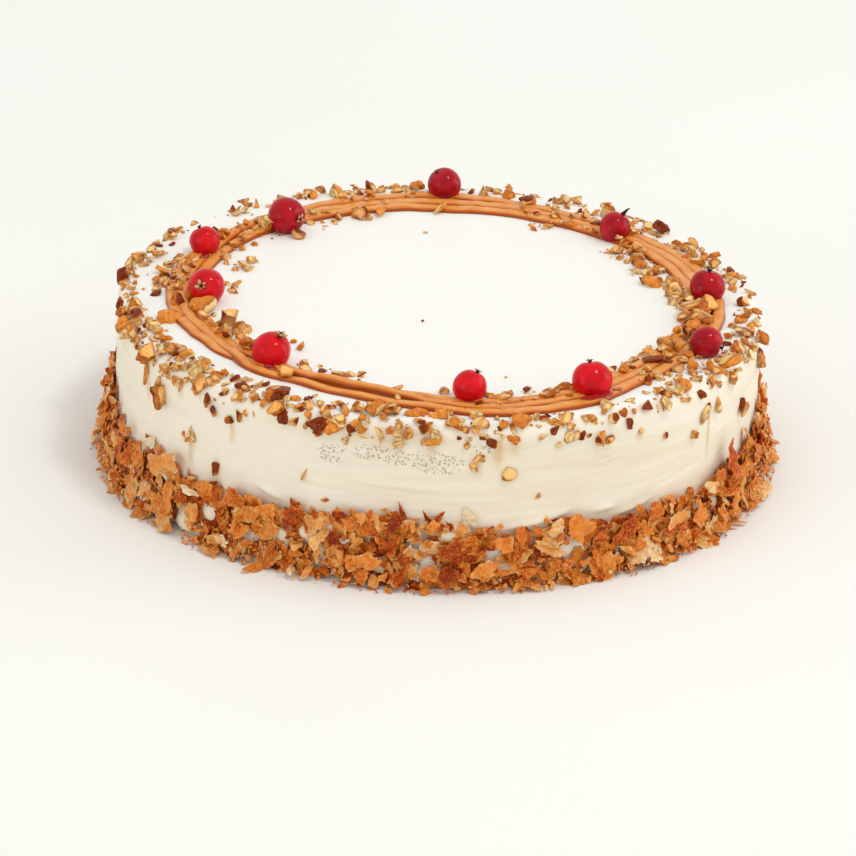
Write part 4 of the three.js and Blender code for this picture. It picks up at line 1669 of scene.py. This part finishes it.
@dataclass
class WaferSkirt:
    """Crushed crisp wafer pressed round the foot of the cake, sizes in millimetres."""

    # The height of the skirt every 10 degrees of bearing.
    heights: tuple[float, ...] = (
        26.0, 27.5, 28.5, 28.0, 27.0, 26.5, 26.0, 26.5, 27.0, 27.0, 27.5, 28.0,
        28.0, 28.5, 29.0, 29.0, 29.0, 28.5, 27.5, 26.0, 19.5, 19.5, 22.0, 19.0,
        20.5, 21.5, 23.5, 21.5, 19.0, 20.0, 17.5, 17.5, 17.0, 20.5, 22.0, 25.5,
    )
    foot_depth: float = 7.0  # how far the loose flakes lie out from the cake at the foot
    crest_depth: float = 2.4
    # Bare spots where the cream shows: bearing, height, half breadth and half height.
    gaps: tuple[tuple[float, float, float, float], ...] = (
        (249, 13, 1.2, 1.5), (252.5, 16, 1.5, 1), (255.5, 13.5, 1.1, 1.4), (252, 8.5, 1.1, 2.4),
        (253.5, 3, 0.7, 3), (258, 3.5, 0.5, 1.5), (261.5, 5.5, 0.8, 1), (268, 4, 1.1, 2.4),
        (269, 8, 2.2, 1.4), (273, 16, 1.7, 1.2), (280, 10.5, 2.1, 2.2), (282.5, 6, 2.1, 3.4),
        (271.5, 6, 0.6, 0.7), (211, 5, 3, 5), (224, 4, 3.8, 2.6), (218, 18, 1, 1.9),
        (216.5, 2.5, 2.1, 1), (229.5, 11, 2, 1.7), (238.5, 8, 1.5, 1.4), (243, 11, 1.4, 2.2),
        (244.5, 10, 0.9, 3), (240.5, 3.5, 1.4, 1), (207, 10, 1.7, 1.5), (292.5, 10, 2.4, 1.7),
        (296.5, 11, 1.7, 2.4), (302.5, 8, 2.2, 2.2), (294, 6, 2.1, 1), (296.5, 4, 1, 1),
        (318.5, 6, 0.7, 1.9), (320.5, 12.5, 1.2, 1), (326.5, 9.5, 1.1, 1.5), (332.5, 5.5, 1.4, 1.2),
        (186, 7, 2, 2), (201, 9, 1.5, 2), (20, 8, 2.5, 2), (66, 11, 2.2, 2), (97, 6, 3, 2.2),
        (131, 10, 2.4, 2.4), (158, 6, 2, 2),
    )
    depth_curve: float = 1.3  # how the depth falls off from the foot to the crest
    least_depth: float = 0.5
    crest_spread: float = 1.1
    crest_margin: float = 0.42  # how far a flake's middle keeps below the crest, as a share of its height
    squat: tuple[float, float] = (0.34, 1.0)  # the height of a flake, as shares of its breadth
    upright_share: float = 0.52  # how many of the flakes stand on end
    spin: float = 50.0  # degrees either way
    lean: float = 12.0  # degrees
    spread_of_leans: float = 20.0
    foot_lean: float = 40.0  # how much further the flakes at the foot lie back
    foot_share: float = 0.3  # how much of the height counts as the foot
    spread_of_yaws: float = 24.0
    placed_lean: float = 8.0
    bubbly_share: float = 0.55
    bubbliness: tuple[float, float] = (0.5, 1.0)
    sharp_above: float = 50.0  # degrees
    layer_with_placed: str = "wafer_flakes_large"
    spread_of_tones: float = 0.11
    beta_of_sizes: tuple[float, float] = (1.5, 2.6)  # more of them are small
    beta_of_lifts: tuple[float, float] = (1.5, 1.1)  # more of them lie far out
    least_room: float = 1.0  # between the foot and the crest
    lowest_middle: float = 0.5
    foot_gap: float = 0.12  # between the flakes that lie at the foot and the table
    foot_wave: float = 0.06
    foot_wave_rate: float = 40.0  # radians per millimetre
    gap_margin: float = 0.12  # how far a flake keeps from a bare spot, as a share of its size
    # Single flakes: bearing, height, breadth and tallness of the flake, spin, tone, bubbles, how far out.
    placed: tuple[tuple[float, ...], ...] = (
        (255, 21.5, 7, 6, 10, 0.22, 1, 3.5), (252, 19, 2.5, 5.5, 8, 0.6, 0.2, 2.5),
        (258.5, 22, 5, 5, -5, 0.62, 0.3, 3), (261, 22, 2, 6.5, 12, 0.7, 0.1, 3.5),
        (264, 21.5, 6.5, 10, -14, 0.26, 1, 4), (267, 20, 2, 4.5, 10, 0.5, 0.2, 3),
        (270, 20.5, 5.5, 5, 15, 0.55, 0.4, 3), (276, 21.5, 5, 7, 6, 0.93, 0, 1),
        (274, 13.5, 12, 8.5, 6, 0.26, 0.8, 6), (263.5, 14.5, 8.5, 7.5, 30, 0.3, 1, 5),
        (260.5, 9, 9.5, 6.5, 0, 0.45, 0.2, 6), (266, 11, 6.5, 6, 20, 0.28, 1, 6.5),
        (269.5, 7.5, 5.5, 7, -20, 0.5, 0.8, 7), (273.5, 6, 8.5, 4.5, 3, 0.16, 0.6, 7),
        (278.5, 8, 8, 7, -12, 0.5, 0.1, 6.5), (281.5, 16, 9, 7, 8, 0.48, 0.2, 5),
        (276.5, 16, 7.5, 5, -20, 0.55, 0.9, 5), (251, 12, 5, 9, 5, 0.62, 0.1, 4.5),
        (254, 14.5, 6, 4, 25, 0.18, 0.8, 4.5), (284.5, 17.5, 5, 8.5, 4, 0.42, 0.3, 4),
        (290.5, 19, 7.5, 5, -8, 0.8, 0.3, 4), (294.5, 17, 8.5, 12.5, -32, 0.46, 0.2, 4.5),
        (300, 17, 6, 3, 28, 0.14, 0.5, 4), (303.5, 14, 13, 7, 22, 0.4, 1, 5),
        (310, 17.5, 6.5, 8, -16, 0.44, 0.7, 3.5), (313.5, 16, 3, 4, 10, 0.7, 0.1, 3),
        (314.5, 13, 11.5, 6, 12, 0.62, 0.3, 5), (313, 10, 11.5, 4, -5, 0.2, 0.3, 5),
        (298.5, 14, 6.5, 5, 30, 0.42, 0.8, 5), (303, 8.5, 9, 2.5, -28, 0.6, 0.2, 6),
        (286, 7, 9, 3.5, 5, 0.55, 1, 7), (349.5, 23.5, 11, 9, 6, 0.6, 0.9, 3),
        (355, 11.5, 13.5, 6, 0, 0.5, 0.2, 3.5), (341.5, 16.5, 13.5, 8.5, -8, 0.55, 1, 4),
        (330, 23, 6, 10, 8, 0.24, 0.4, 3.5), (326, 19.5, 10.5, 5, 10, 0.3, 0.3, 4),
        (323, 18.5, 10, 4.5, -10, 0.82, 0.2, 5), (332, 16, 8.5, 9, 5, 0.5, 1, 4),
        (339, 7.5, 13.5, 11.5, -4, 0.32, 0.2, 5), (319.5, 11, 8.5, 11.5, -6, 0.5, 0.3, 5.5),
        (326, 8.5, 6.5, 9.5, 15, 0.45, 0.2, 5.5), (330.5, 7, 7, 9.5, -25, 0.5, 0.3, 6),
        (204, 22, 11, 6.5, 0, 0.55, 0.8, 3.5), (213.5, 23.5, 7, 6, 20, 0.95, 0.1, 2.5),
        (220.5, 23, 11.5, 6.5, 18, 0.62, 0.1, 3.5), (216.5, 19.5, 10.5, 8, -20, 0.6, 0.2, 4.5),
        (226.5, 17.5, 12.5, 2.5, -6, 0.9, 0, 5.5), (224, 13, 8, 6, 10, 0.32, 0.8, 4.5),
        (220.5, 10.5, 7, 13, 10, 0.5, 0.3, 5), (227, 11.5, 6.5, 8, -15, 0.6, 0.2, 5),
        (229.5, 19.5, 8.5, 5.5, 10, 0.62, 0.8, 4), (236, 20, 9, 6.5, -10, 0.5, 0.9, 3.5),
        (238.5, 16, 9, 7, 15, 0.64, 0.9, 4.5), (237.5, 11, 9, 8, 8, 0.42, 0.1, 5),
        (242.5, 18.5, 6.5, 7, -30, 0.5, 0.3, 4), (247, 19.5, 9.5, 9, 5, 0.3, 1, 4),
        (234, 5.5, 7.5, 5.5, 0, 0.85, 0.1, 6), (211, 19, 6.5, 9, 10, 0.5, 0.5, 4),
        (202, 12, 9, 10, 4, 0.35, 0.6, 4), (185, 9.5, 7.5, 9, -6, 0.5, 0.4, 3),
    )
    layers: tuple[FlakeLayer, ...] = rows_of(
        FlakeLayer,
        # The bed is given a darker tone than the other layers as painted shade.
        ("wafer_bed", 14, (1.0,), 0.45, 0.5, 1350, (5.0, 10.5), 51, 0.3, (0.1, 0.45), (0.0, 1.0), 0.4),
        ("wafer_flakes_large", 28, (0.4, 0.75, 1.0), 0.55, 1.0, 465, (6.5, 14.0), 61, 0.58, (0.3, 1.0)),
        ("wafer_flakes_small", 14, (0.55, 1.0), 0.45, 0.8, 1700, (2.4, 7.0), 71, 0.53, (0.2, 1.05)),
        ("wafer_crumbs", 7, (1.0,), 0.45, 0.5, 2900, (0.8, 2.4), 81, 0.55, (0.2, 1.2), (0.0, 0.4)),
    )

    @property
    def bare_spots(self) -> tuple[BareSpot, ...]:
        """The spots where the cream swells out between the flakes."""
        return tuple(BareSpot(*gap) for gap in self.gaps)

    def depth(self, levels: np.ndarray) -> np.ndarray:
        """How far out the skirt reaches at each level, from 0 at the foot to 1 at the crest."""
        return self.crest_depth + (self.foot_depth - self.crest_depth) * (1 - levels) ** self.depth_curve

    def in_a_gap(self, bearings: np.ndarray, heights: np.ndarray, sizes: np.ndarray) -> np.ndarray:
        """Tells which flakes would cover a bare spot.

        Args:
            bearings: The flakes' bearings, in degrees.
            heights: Their heights.
            sizes: Their sizes.

        Returns:
            True for each flake that would.
        """
        covering = np.zeros(len(bearings), bool)
        margin = self.gap_margin * sizes
        for bearing, height, half_broad, half_tall in self.gaps:
            along = np.radians(apart(bearings, bearing)) * CAKE_RADIUS / (half_broad + margin)
            above = (heights - height) / (half_tall + margin)
            covering |= np.hypot(along, above) < 1
        return covering

    def place(
        self, rng: np.random.Generator, shapes: FlakeShapes, flakes: dict[str, np.ndarray]
    ) -> tuple[np.ndarray, np.ndarray]:
        """Stands flakes round the cake.

        Args:
            rng: The source of chance.
            shapes: What cuts them.
            flakes: For each, its bearing, its height, how far out it stands (proud), its breadth (broad)
                and height (tall), and by how many degrees it is turned in its own plane (spin) and its
                face looks up (lean) and sideways (yaw).

        Returns:
            The points of each flake, and how near each point is to the rim.
        """
        local, rim = shapes.cut(rng, flakes["broad"], flakes["tall"])
        middle = on_circle(flakes["bearing"], CAKE_RADIUS + flakes["proud"], flakes["height"])
        facing = np.radians(flakes["bearing"] + flakes["yaw"])
        rise = np.radians(flakes["lean"])
        level = np.cos(rise)
        normals = np.stack([np.cos(facing) * level, np.sin(facing) * level, np.sin(rise)], -1)
        turn = frames_on(normals, np.radians(flakes["spin"]))
        points = middle[:, None, :] + np.einsum("nij,npj->npi", turn, local)
        # What would hang below the foot lies on it instead, no two points quite level.
        lowest = self.foot_gap + self.foot_wave * np.abs(np.sin(self.foot_wave_rate * points[..., 0]))
        points[..., 2] = np.maximum(points[..., 2], lowest)
        return points, rim

    def draw_flakes(self, layer: FlakeLayer, rng: np.random.Generator) -> dict[str, np.ndarray]:
        """Draws one layer's flakes, apart from those that would cover a bare spot."""
        count = layer.count
        low, high = layer.sizes
        broad = low + (high - low) * rng.beta(*self.beta_of_sizes, count)
        tall = broad * rng.uniform(*self.squat, count)
        bearing = rng.uniform(0, 360, count)
        crest = around(self.heights, bearing) + rng.normal(0, self.crest_spread, count)
        room = np.maximum(crest - self.crest_margin * tall, self.least_room)
        height = self.lowest_middle + rng.uniform(*layer.band, count) * room
        shown = np.clip(height / crest, 0, 1)
        share = layer.lift[0] + (layer.lift[1] - layer.lift[0]) * rng.beta(*self.beta_of_lifts, count)
        turned = rng.uniform(-self.spin, self.spin, count)
        upright = 90 * (rng.random(count) < self.upright_share)
        lying = self.foot_lean * (1 - smoothstep(0.0, self.foot_share, shown))
        flakes = {
            "bearing": bearing,
            "height": height,
            "proud": self.least_depth + share * (self.depth(shown) - self.least_depth),
            "broad": broad,
            "tall": tall,
            "spin": turned + upright,
            "lean": layer.tilt * (rng.normal(self.lean, self.spread_of_leans, count) + lying),
            "yaw": layer.tilt * rng.normal(0, self.spread_of_yaws, count),
            "tone": np.clip(rng.normal(layer.tone, self.spread_of_tones, count), 0, 1),
            "bubbly": (rng.random(count) < self.bubbly_share) * rng.uniform(*self.bubbliness, count),
        }
        keep = ~self.in_a_gap(bearing, height, np.minimum(broad, tall))
        return {name: column[keep] for name, column in flakes.items()}

    def build_layer(self, layer: FlakeLayer, material: bpy.types.Material) -> bpy.types.Object:
        """Builds one layer of flakes, with the single flakes in it if they belong to it."""
        rng = np.random.default_rng(layer.seed)
        shapes = FlakeShapes(layer)
        flakes = self.draw_flakes(layer, rng)
        if layer.name == self.layer_with_placed:
            names = ("bearing", "height", "broad", "tall", "spin", "tone", "bubbly", "proud")
            extra = dict(zip(names, np.array(self.placed).T))
            extra |= {"lean": self.placed_lean + 0 * extra["spin"], "yaw": 0 * extra["spin"]}
            flakes = {name: np.append(column, extra[name]) for name, column in flakes.items()}
        points, rim = self.place(rng, shapes, flakes)
        firsts = np.arange(len(points)) * shapes.count
        faces = [
            (block[None] + firsts[:, None, None]).reshape(-1, block.shape[1]) for block in shapes.faces
        ]
        values = {name: np.repeat(flakes[name], shapes.count) for name in ("tone", "bubbly")}
        # The rim value lets the material paint a highlight along the flakes' edges.
        values["rim"] = np.tile(rim, len(points))
        grid = points.reshape(-1, 3) * MM
        return make_piece(layer.name, grid, faces, material, values, self.sharp_above)

    def build(self) -> list[bpy.types.Object]:
        """Builds the bed, the large flakes, the small ones and the crumbs, in place of the plain skirt."""
        material = BrownedWafer().material()
        pieces = [self.build_layer(layer, material) for layer in self.layers]
        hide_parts("wafer_skirt")
        return pieces


# --- The red currants -----------------------------------------------------------------


@dataclass(frozen=True)
class Flower:
    """The dried flower of a currant: its size in millimetres, how far it has opened, how pale it is."""

    size: float = 1.5
    opened: float = 1.0
    pale: float = 0.0


@dataclass(frozen=True)
class Currant:
    """One red currant: its place, its diameter, how deep it is pressed in, where its flower points."""

    bearing: float
    distance: float
    diameter: float
    pressed: float
    lean: float
    heading: float
    skin: CurrantSkin
    flower: Flower = Flower()
    stalk: bool = False


@dataclass(frozen=True)
class JuiceSpot:
    """A spot of juice: its middle, its half length round the cake, its half breadth and its depth."""

    bearing: float
    distance: float
    half_length: float
    half_breadth: float
    depth: float = 0.2


BRIGHT = CurrantSkin("#E0121E", "#C40C18")
MIDDLE = CurrantSkin("#DC1620", "#BE0E18")
DEEP = CurrantSkin("#B81220", "#980C1A")


@dataclass
class RedCurrants:
    """The ten red currants along the ring and the juice that has run out of them, sizes in millimetres."""

    ring: ButterscotchRing
    columns: int = 48
    rows: int = 30
    swell: float = 0.012
    swell_length: float = 1.6
    dimple: float = 0.1  # round the flower, as a share of the radius
    dimple_breadth: float = 0.3  # radians
    neck: float = 0.03  # at the stalk, as a share of the radius
    neck_breadth: float = 0.4  # radians
    weld: float = 0.01 * MM  # points nearer than this become one
    flower_seat: float = 0.88  # how far out the flower sits, as a share of the radius
    flower_columns: int = 30
    flower_rows: int = 7
    petals: int = 5
    petal_lengths: tuple[float, float] = (0.45, 1.3)
    petal_power: float = 0.8  # how pointed the petals are
    between_petals: float = 0.45  # how tall the flower is there, as a share of its height at a petal
    # The measures of a flower, as shares of its size.
    tube_radius: float = 0.34
    petal_spread: float = 0.75
    tube_foot: float = 0.15
    flower_height: float = 0.95
    petal_droop: float = 0.35
    inside_radius: float = 0.8  # as a share of the outside's
    inside_rise: float = 0.06
    closed_ends: tuple[float, float] = (-0.1, 0.2)  # how high the outside and the inside close
    outside_tip: float = 0.35  # how much of a tip the outside is between the petals
    inside_tip: float = 0.2
    crumple: float = 0.12
    crumple_length: float = 0.5
    stalk_columns: int = 10
    stalk_rows: int = 8
    stalk_length: float = 3.2
    stalk_radius: float = 0.85
    stalk_taper: float = 0.8
    stalk_shade: float = 0.1
    stalk_sunk: float = 0.3
    stalk_point: float = 0.1  # how far its closed end stands out
    skin_seed: int = 400  # that of the berry before the first, like the flower's
    flower_seed: int = 500
    juice_seed: int = 700
    juice_columns: int = 36
    juice_rows: int = 9
    juice_raggedness: float = 0.16
    juice_raggedness_length: float = 1.1
    juice_edge: float = 0.03  # its least thickness
    juice_middle: float = 0.04  # how near the middle its innermost row is, as a share of its reach
    juice_sunk: float = 0.15
    berries: tuple[Currant, ...] = rows_of(
        Currant,
        (89.7, 91.7, 11.3, 1.6, 32, 191, DEEP, Flower(1.1, 0.8, -0.1)),
        (133.3, 74.3, 12.2, 1.0, 85, 318, DEEP, Flower(1.6, 1.1, 0.2)),
        (158.0, 82.3, 9.9, 0.6, 25, 152, MIDDLE, Flower(1.1, 0.7, -0.35)),
        (187.3, 73.6, 11.4, 1.0, 69, 255, MIDDLE, Flower(1.6, 1.3, 0.25)),
        (229.3, 77.1, 12.0, 2.2, 25, 353, BRIGHT, Flower(2.1, 0.9, 0.3)),
        (276.9, 82.5, 10.4, 1.0, 27, 22, BRIGHT, Flower(1.4, 1.0, -0.05)),
        (302.4, 86.8, 12.1, 2.2, 18, 120, BRIGHT, Flower(1.5, 1.1, 0.0)),
        (333.9, 91.7, 10.2, 1.2, 103, 343, DEEP, Flower(1.2, 0.8, -0.35)),
        (3.5, 84.9, 11.5, 1.6, 10, 60, DEEP, Flower(1.9, 1.2, -0.15)),
        (44.6, 80.0, 10.4, 1.0, 30, 18, DEEP, Flower(0.9, 0.8, -0.3), True),
    )
    juice: tuple[JuiceSpot, ...] = rows_of(
        JuiceSpot,
        (301.0, 93.0, 5.2, 1.9),
        (306.4, 91.4, 2.0, 1.2),
        (161.5, 80.0, 2.4, 1.2),
        (232.0, 82.0, 2.2, 1.0),
    )

    def skin_points(self, seed: int, radius: float) -> np.ndarray:
        """Points of a berry's skin, row by row from the stalk end to the flower end."""
        angles = full_turn(self.columns)
        climb = np.linspace(-math.pi / 2, math.pi / 2, self.rows)[:, None] + 0 * angles
        direction = np.stack(
            [np.cos(climb) * np.cos(angles), np.cos(climb) * np.sin(angles), np.sin(climb)], -1
        )
        swell = 1 + self.swell * Waviness(seed, self.swell_length).at(direction)
        # The skin dips a little towards the dried flower, and is drawn out a little towards the stalk.
        dip = self.dimple * np.exp(-(((math.pi / 2 - climb) / self.dimple_breadth) ** 2))
        drawn = self.neck * np.exp(-(((math.pi / 2 + climb) / self.neck_breadth) ** 2))
        return (radius * (swell - dip + drawn)[..., None] * direction).reshape(-1, 3)

    def flower_mesh(self, seed: int, flower: Flower) -> tuple[np.ndarray, list[np.ndarray], np.ndarray]:
        """Makes the dried flower: a short crumpled tube that opens into ragged petals.

        Args:
            seed: Which draw of chance it is.
            flower: Its size, how far it has opened and how pale it is.

        Returns:
            Its points with the tube's foot at the origin, its faces, and how near each point is to a tip.
        """
        rng = np.random.default_rng(seed)
        columns, rows = self.flower_columns, self.flower_rows
        size = flower.size
        angles = full_turn(columns)
        levels = np.linspace(0, 1, rows)[:, None]
        middles = full_turn(self.petals)
        drawn = rng.uniform(*self.petal_lengths, self.petals)
        lengths = np.interp(angles, middles, drawn, period=2 * math.pi)
        petal = np.abs(np.cos(self.petals * angles / 2)) ** self.petal_power * lengths
        flat = 0 * levels
        ring = np.stack([np.cos(angles) + flat, np.sin(angles) + flat, levels + 0 * angles], -1)
        crumple = self.crumple * Waviness(seed + 1, self.crumple_length).at(ring)
        spread = self.petal_spread * flower.opened * levels**2 * petal
        radius = size * (self.tube_radius + spread + crumple * levels)
        # The tube stands up, and its petals bend outwards and down again the further it has opened.
        share = self.between_petals + (1 - self.between_petals) * petal
        risen = self.tube_foot + self.flower_height * levels * share
        height = size * (risen - self.petal_droop * flower.opened * levels**3 * petal)
        outer = np.stack([radius * np.cos(angles), radius * np.sin(angles), height], -1)
        inside = self.inside_radius
        inner = outer * [inside, inside, 1.0] + [0, 0, self.inside_rise * size]
        points = np.concatenate([outer.reshape(-1, 3), inner[::-1].reshape(-1, 3)])
        ends = np.array([[0, 0, end * size] for end in self.closed_ends])
        outer_tip = (levels * (self.outside_tip + (1 - self.outside_tip) * petal)).reshape(-1)
        inner_tip = (levels[::-1] * (self.inside_tip + (1 - self.inside_tip) * petal)).reshape(-1)
        tips = np.concatenate([outer_tip, inner_tip, [0.0, 0.0]])
        return np.vstack([points, ends]), closed_tube(2 * rows, columns), tips + flower.pale

    def stalk_mesh(self) -> tuple[np.ndarray, list[np.ndarray], np.ndarray]:
        """Makes a thin bent stalk that tapers from the origin: its points, faces and their shade."""
        columns, rows = self.stalk_columns, self.stalk_rows
        angles = full_turn(columns)
        levels = np.linspace(0, 1, rows)[:, None]
        radius = self.stalk_radius * (1 - self.stalk_taper * levels)
        height = levels * self.stalk_length + 0 * angles
        points = np.stack(
            [radius * np.cos(angles) + levels**2, radius * np.sin(angles), height], -1
        ).reshape(-1, 3)
        ends = [[0, 0, -self.stalk_sunk], [1.0, 0, self.stalk_length + self.stalk_point]]
        points = np.vstack([points, ends])
        return points, closed_tube(rows, columns), np.full(len(points), self.stalk_shade)

    def build_skin(
        self, index: int, berry: Currant, centre: np.ndarray, turn: np.ndarray
    ) -> bpy.types.Object:
        """Builds one berry's skin, in place of the plain one."""
        upright = self.skin_points(self.skin_seed + index, berry.diameter / 2)
        grid = upright @ turn.T + centre
        values = {"turn_x": upright[:, 0], "turn_y": upright[:, 1]}
        material = berry.skin.material(f"Ripe_red_currant_skin_{index:02d}")
        faces = [band_faces(self.rows, self.columns)]
        skin = make_piece(
            f"red_currant_{index:02d}", grid * MM, faces, material, values
        )
        closed = bmesh.new()
        closed.from_mesh(skin.data)
        bmesh.ops.remove_doubles(closed, verts=closed.verts, dist=self.weld)
        closed.to_mesh(skin.data)
        closed.free()
        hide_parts(f"currant_{index:02d}")
        return skin

    def build_juice(self) -> bpy.types.Object:
        """Builds the juice: thin domes that follow the butterscotch and the cream under them."""
        columns, rows = self.juice_columns, self.juice_rows
        angles = full_turn(columns)
        shares = np.linspace(1, self.juice_middle, rows)[:, None]
        spread = Gathering()
        for index, spot in enumerate(self.juice):
            rim = np.stack([np.cos(angles), np.sin(angles), 0 * angles], -1)
            waves = Waviness(self.juice_seed + index, self.juice_raggedness_length).at(rim)
            reach = shares * (1 + self.juice_raggedness * waves)
            distance = spot.distance + spot.half_breadth * reach * np.sin(angles)
            bearing = spot.bearing + np.degrees(spot.half_length * reach * np.cos(angles) / spot.distance)
            under = CAKE_TOP + self.ring.resting_height(bearing, distance)
            above = under + self.juice_edge + spot.depth * np.sqrt(np.maximum(1 - shares**2, 0))
            lower = on_circle(bearing, distance, under - self.juice_sunk).reshape(-1, 3)
            upper = on_circle(bearing, distance, above).reshape(-1, 3)
            spread.add(np.vstack([lower[::-1], upper]), [band_faces(2 * rows, columns)], {})
        return spread.build("currant_juice", CurrantJuice().material(), Slot.CURRANT.value)

    def build(self) -> list[bpy.types.Object]:
        """Builds the berries, their dried flowers and the juice."""
        pieces, flowers = [], Gathering()
        for index, berry in enumerate(self.berries, start=1):
            radius = berry.diameter / 2
            height = CAKE_TOP + radius - berry.pressed
            centre = on_circle(np.array(berry.bearing), np.array(berry.distance), np.array(height))
            heading = Matrix.Rotation(math.radians(berry.heading), 3, "Z")
            turn = np.array(heading @ Matrix.Rotation(math.radians(berry.lean), 3, "Y"))
            pieces.append(self.build_skin(index, berry, centre, turn))
            ends = [self.flower_mesh(self.flower_seed + index, berry.flower)]
            if berry.stalk:
                ends.append(self.stalk_mesh())
            for points, faces, tips in ends:
                seated = (points + [0, 0, self.flower_seat * radius]) @ turn.T + centre
                flowers.add(seated, faces, {"tip": tips})
        dried = flowers.build("dried_currant_flowers", DriedFlower().material(), Slot.CURRANT.value)
        return pieces + [dried, self.build_juice()]


# --- The studio -----------------------------------------------------------------------


@dataclass(frozen=True)
class Lamp:
    """A square lamp that points at the cake: direction, distance and side in metres, power in watts."""

    name: str
    direction: tuple[float, float, float]
    distance: float
    side: float
    power: float


@dataclass(frozen=True)
class PaleFloor:
    """Matt white-painted board: to the eye, an even near white that takes soft shadows."""

    colour: str = "#F5F5F0"
    shade: str = "#F2F2EC"
    cloud_size: float = 0.3
    roughness: float = 0.7

    def material(self) -> bpy.types.Material:
        """Makes the material."""
        mix = Recipe("Matt_white_painted_board")
        cloud = mix.add("TexNoise", {"Scale": 1 / self.cloud_size})
        colour = mix.add("ValToRGB", {"stops": [(0.3, self.shade), (0.7, self.colour)]}, {0: cloud})
        normal = mix.add("Bump", {"Strength": 0.02, "Distance": 1 * MM}, {"Height": cloud})
        settings = {"To Min": self.roughness - 0.05, "To Max": self.roughness + 0.05}
        gloss = mix.add("MapRange", settings, {0: cloud})
        return mix.finish(colour, normal, gloss, {"Specular IOR Level": 0.1})


@dataclass
class Studio:
    """The pale floor, the soft light and the camera, sizes in metres."""

    camera_place: tuple[float, float, float] = (0.0, -1.20739, 0.53388)
    camera_aim: tuple[float, float, float] = (-0.0017336, 0.916408, -0.400242)
    camera_roll: float = 1.83
    focal_length: float = 172.83  # millimetres
    sight: float = 20.0  # how far the camera sees
    floor_reach: float = 6.0
    sky: tuple[float, float, float, float] = (1.0, 0.993, 0.978, 1.0)
    sky_strength: float = 0.82
    lamps: tuple[Lamp, ...] = rows_of(
        Lamp,
        ("window", (0.358, -0.262, 0.895), 4.0, 0.7, 35.0),
        ("fill_from_the_right", (0.93, 0.1, 0.35), 1.8, 1.0, 5.2),
        ("fill_from_the_left", (-0.75, -0.62, 0.2), 1.8, 0.8, 2.7),
    )

    def build_camera(self) -> None:
        """Sets up the camera at the viewing angle of the picture."""
        data = bpy.data.cameras.new("camera")
        data.sensor_width = SENSOR_WIDTH
        data.lens = self.focal_length
        data.clip_end = self.sight
        camera = bpy.data.objects.new("camera", data)
        aim = Vector(self.camera_aim).normalized()
        level = aim.cross(Vector((0, 0, 1))).normalized()
        upright = level.cross(aim)
        roll = math.radians(self.camera_roll)
        right = level * math.cos(roll) + upright * math.sin(roll)
        top = upright * math.cos(roll) - level * math.sin(roll)
        axes = Matrix((right, top, -aim)).transposed()
        camera.matrix_world = Matrix.Translation(self.camera_place) @ axes.to_4x4()
        bpy.context.scene.collection.objects.link(camera)
        bpy.context.scene.camera = camera

    def build_floor(self) -> None:
        """Lays a large plain floor."""
        mesh = bpy.data.meshes.new("floor")
        reach = self.floor_reach
        corners = [(-reach, -reach, 0), (reach, -reach, 0), (reach, reach, 0), (-reach, reach, 0)]
        mesh.from_pydata(corners, [], [(0, 1, 2, 3)])
        mesh.materials.append(PaleFloor().material())
        floor = bpy.data.objects.new("floor", mesh)
        bpy.context.scene.collection.objects.link(floor)
        floor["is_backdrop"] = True

    def build_light(self) -> None:
        """Sets up a bright even surround and the soft lamps."""
        world = bpy.data.worlds.new("surround")
        bpy.context.scene.world = world
        world.use_nodes = True
        background = world.node_tree.nodes["Background"]
        background.inputs["Color"].default_value = self.sky
        background.inputs["Strength"].default_value = self.sky_strength
        for lamp in self.lamps:
            data = bpy.data.lights.new(lamp.name, "AREA")
            data.shape = "SQUARE"
            data.size = lamp.side
            data.energy = lamp.power
            light = bpy.data.objects.new(lamp.name, data)
            place = Vector(lamp.direction).normalized() * lamp.distance
            facing = place.to_track_quat("Z", "Y").to_matrix().to_4x4()
            light.matrix_world = Matrix.Translation(place) @ facing
            bpy.context.scene.collection.objects.link(light)

    def build(self) -> None:
        """Builds the studio and sets how the picture's tones are shown."""
        self.build_camera()
        self.build_floor()
        self.build_light()
        bpy.context.scene.view_settings.view_transform = "Standard"
        bpy.context.scene.view_settings.look = "None"


def main() -> None:
    """Builds every piece of the cake in order, then the studio."""
    logging.basicConfig(level=logging.INFO, format="%(name)s: %(message)s")
    skirt = WaferSkirt()
    coat = CreamCoat(skirt.bare_spots)
    ring = ButterscotchRing()
    coat.build()
    ring.build()
    ChoppedNuts(coat, ring).build()
    skirt.build()
    RedCurrants(ring).build()
    Studio().build()
    boxes = [[list(map(float, corner)) for corner in box] for box in (CAD_BOX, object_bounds())]
    for box in boxes:
        json.dumps(box) + "\n"


if __name__ == "__main__":
    main()
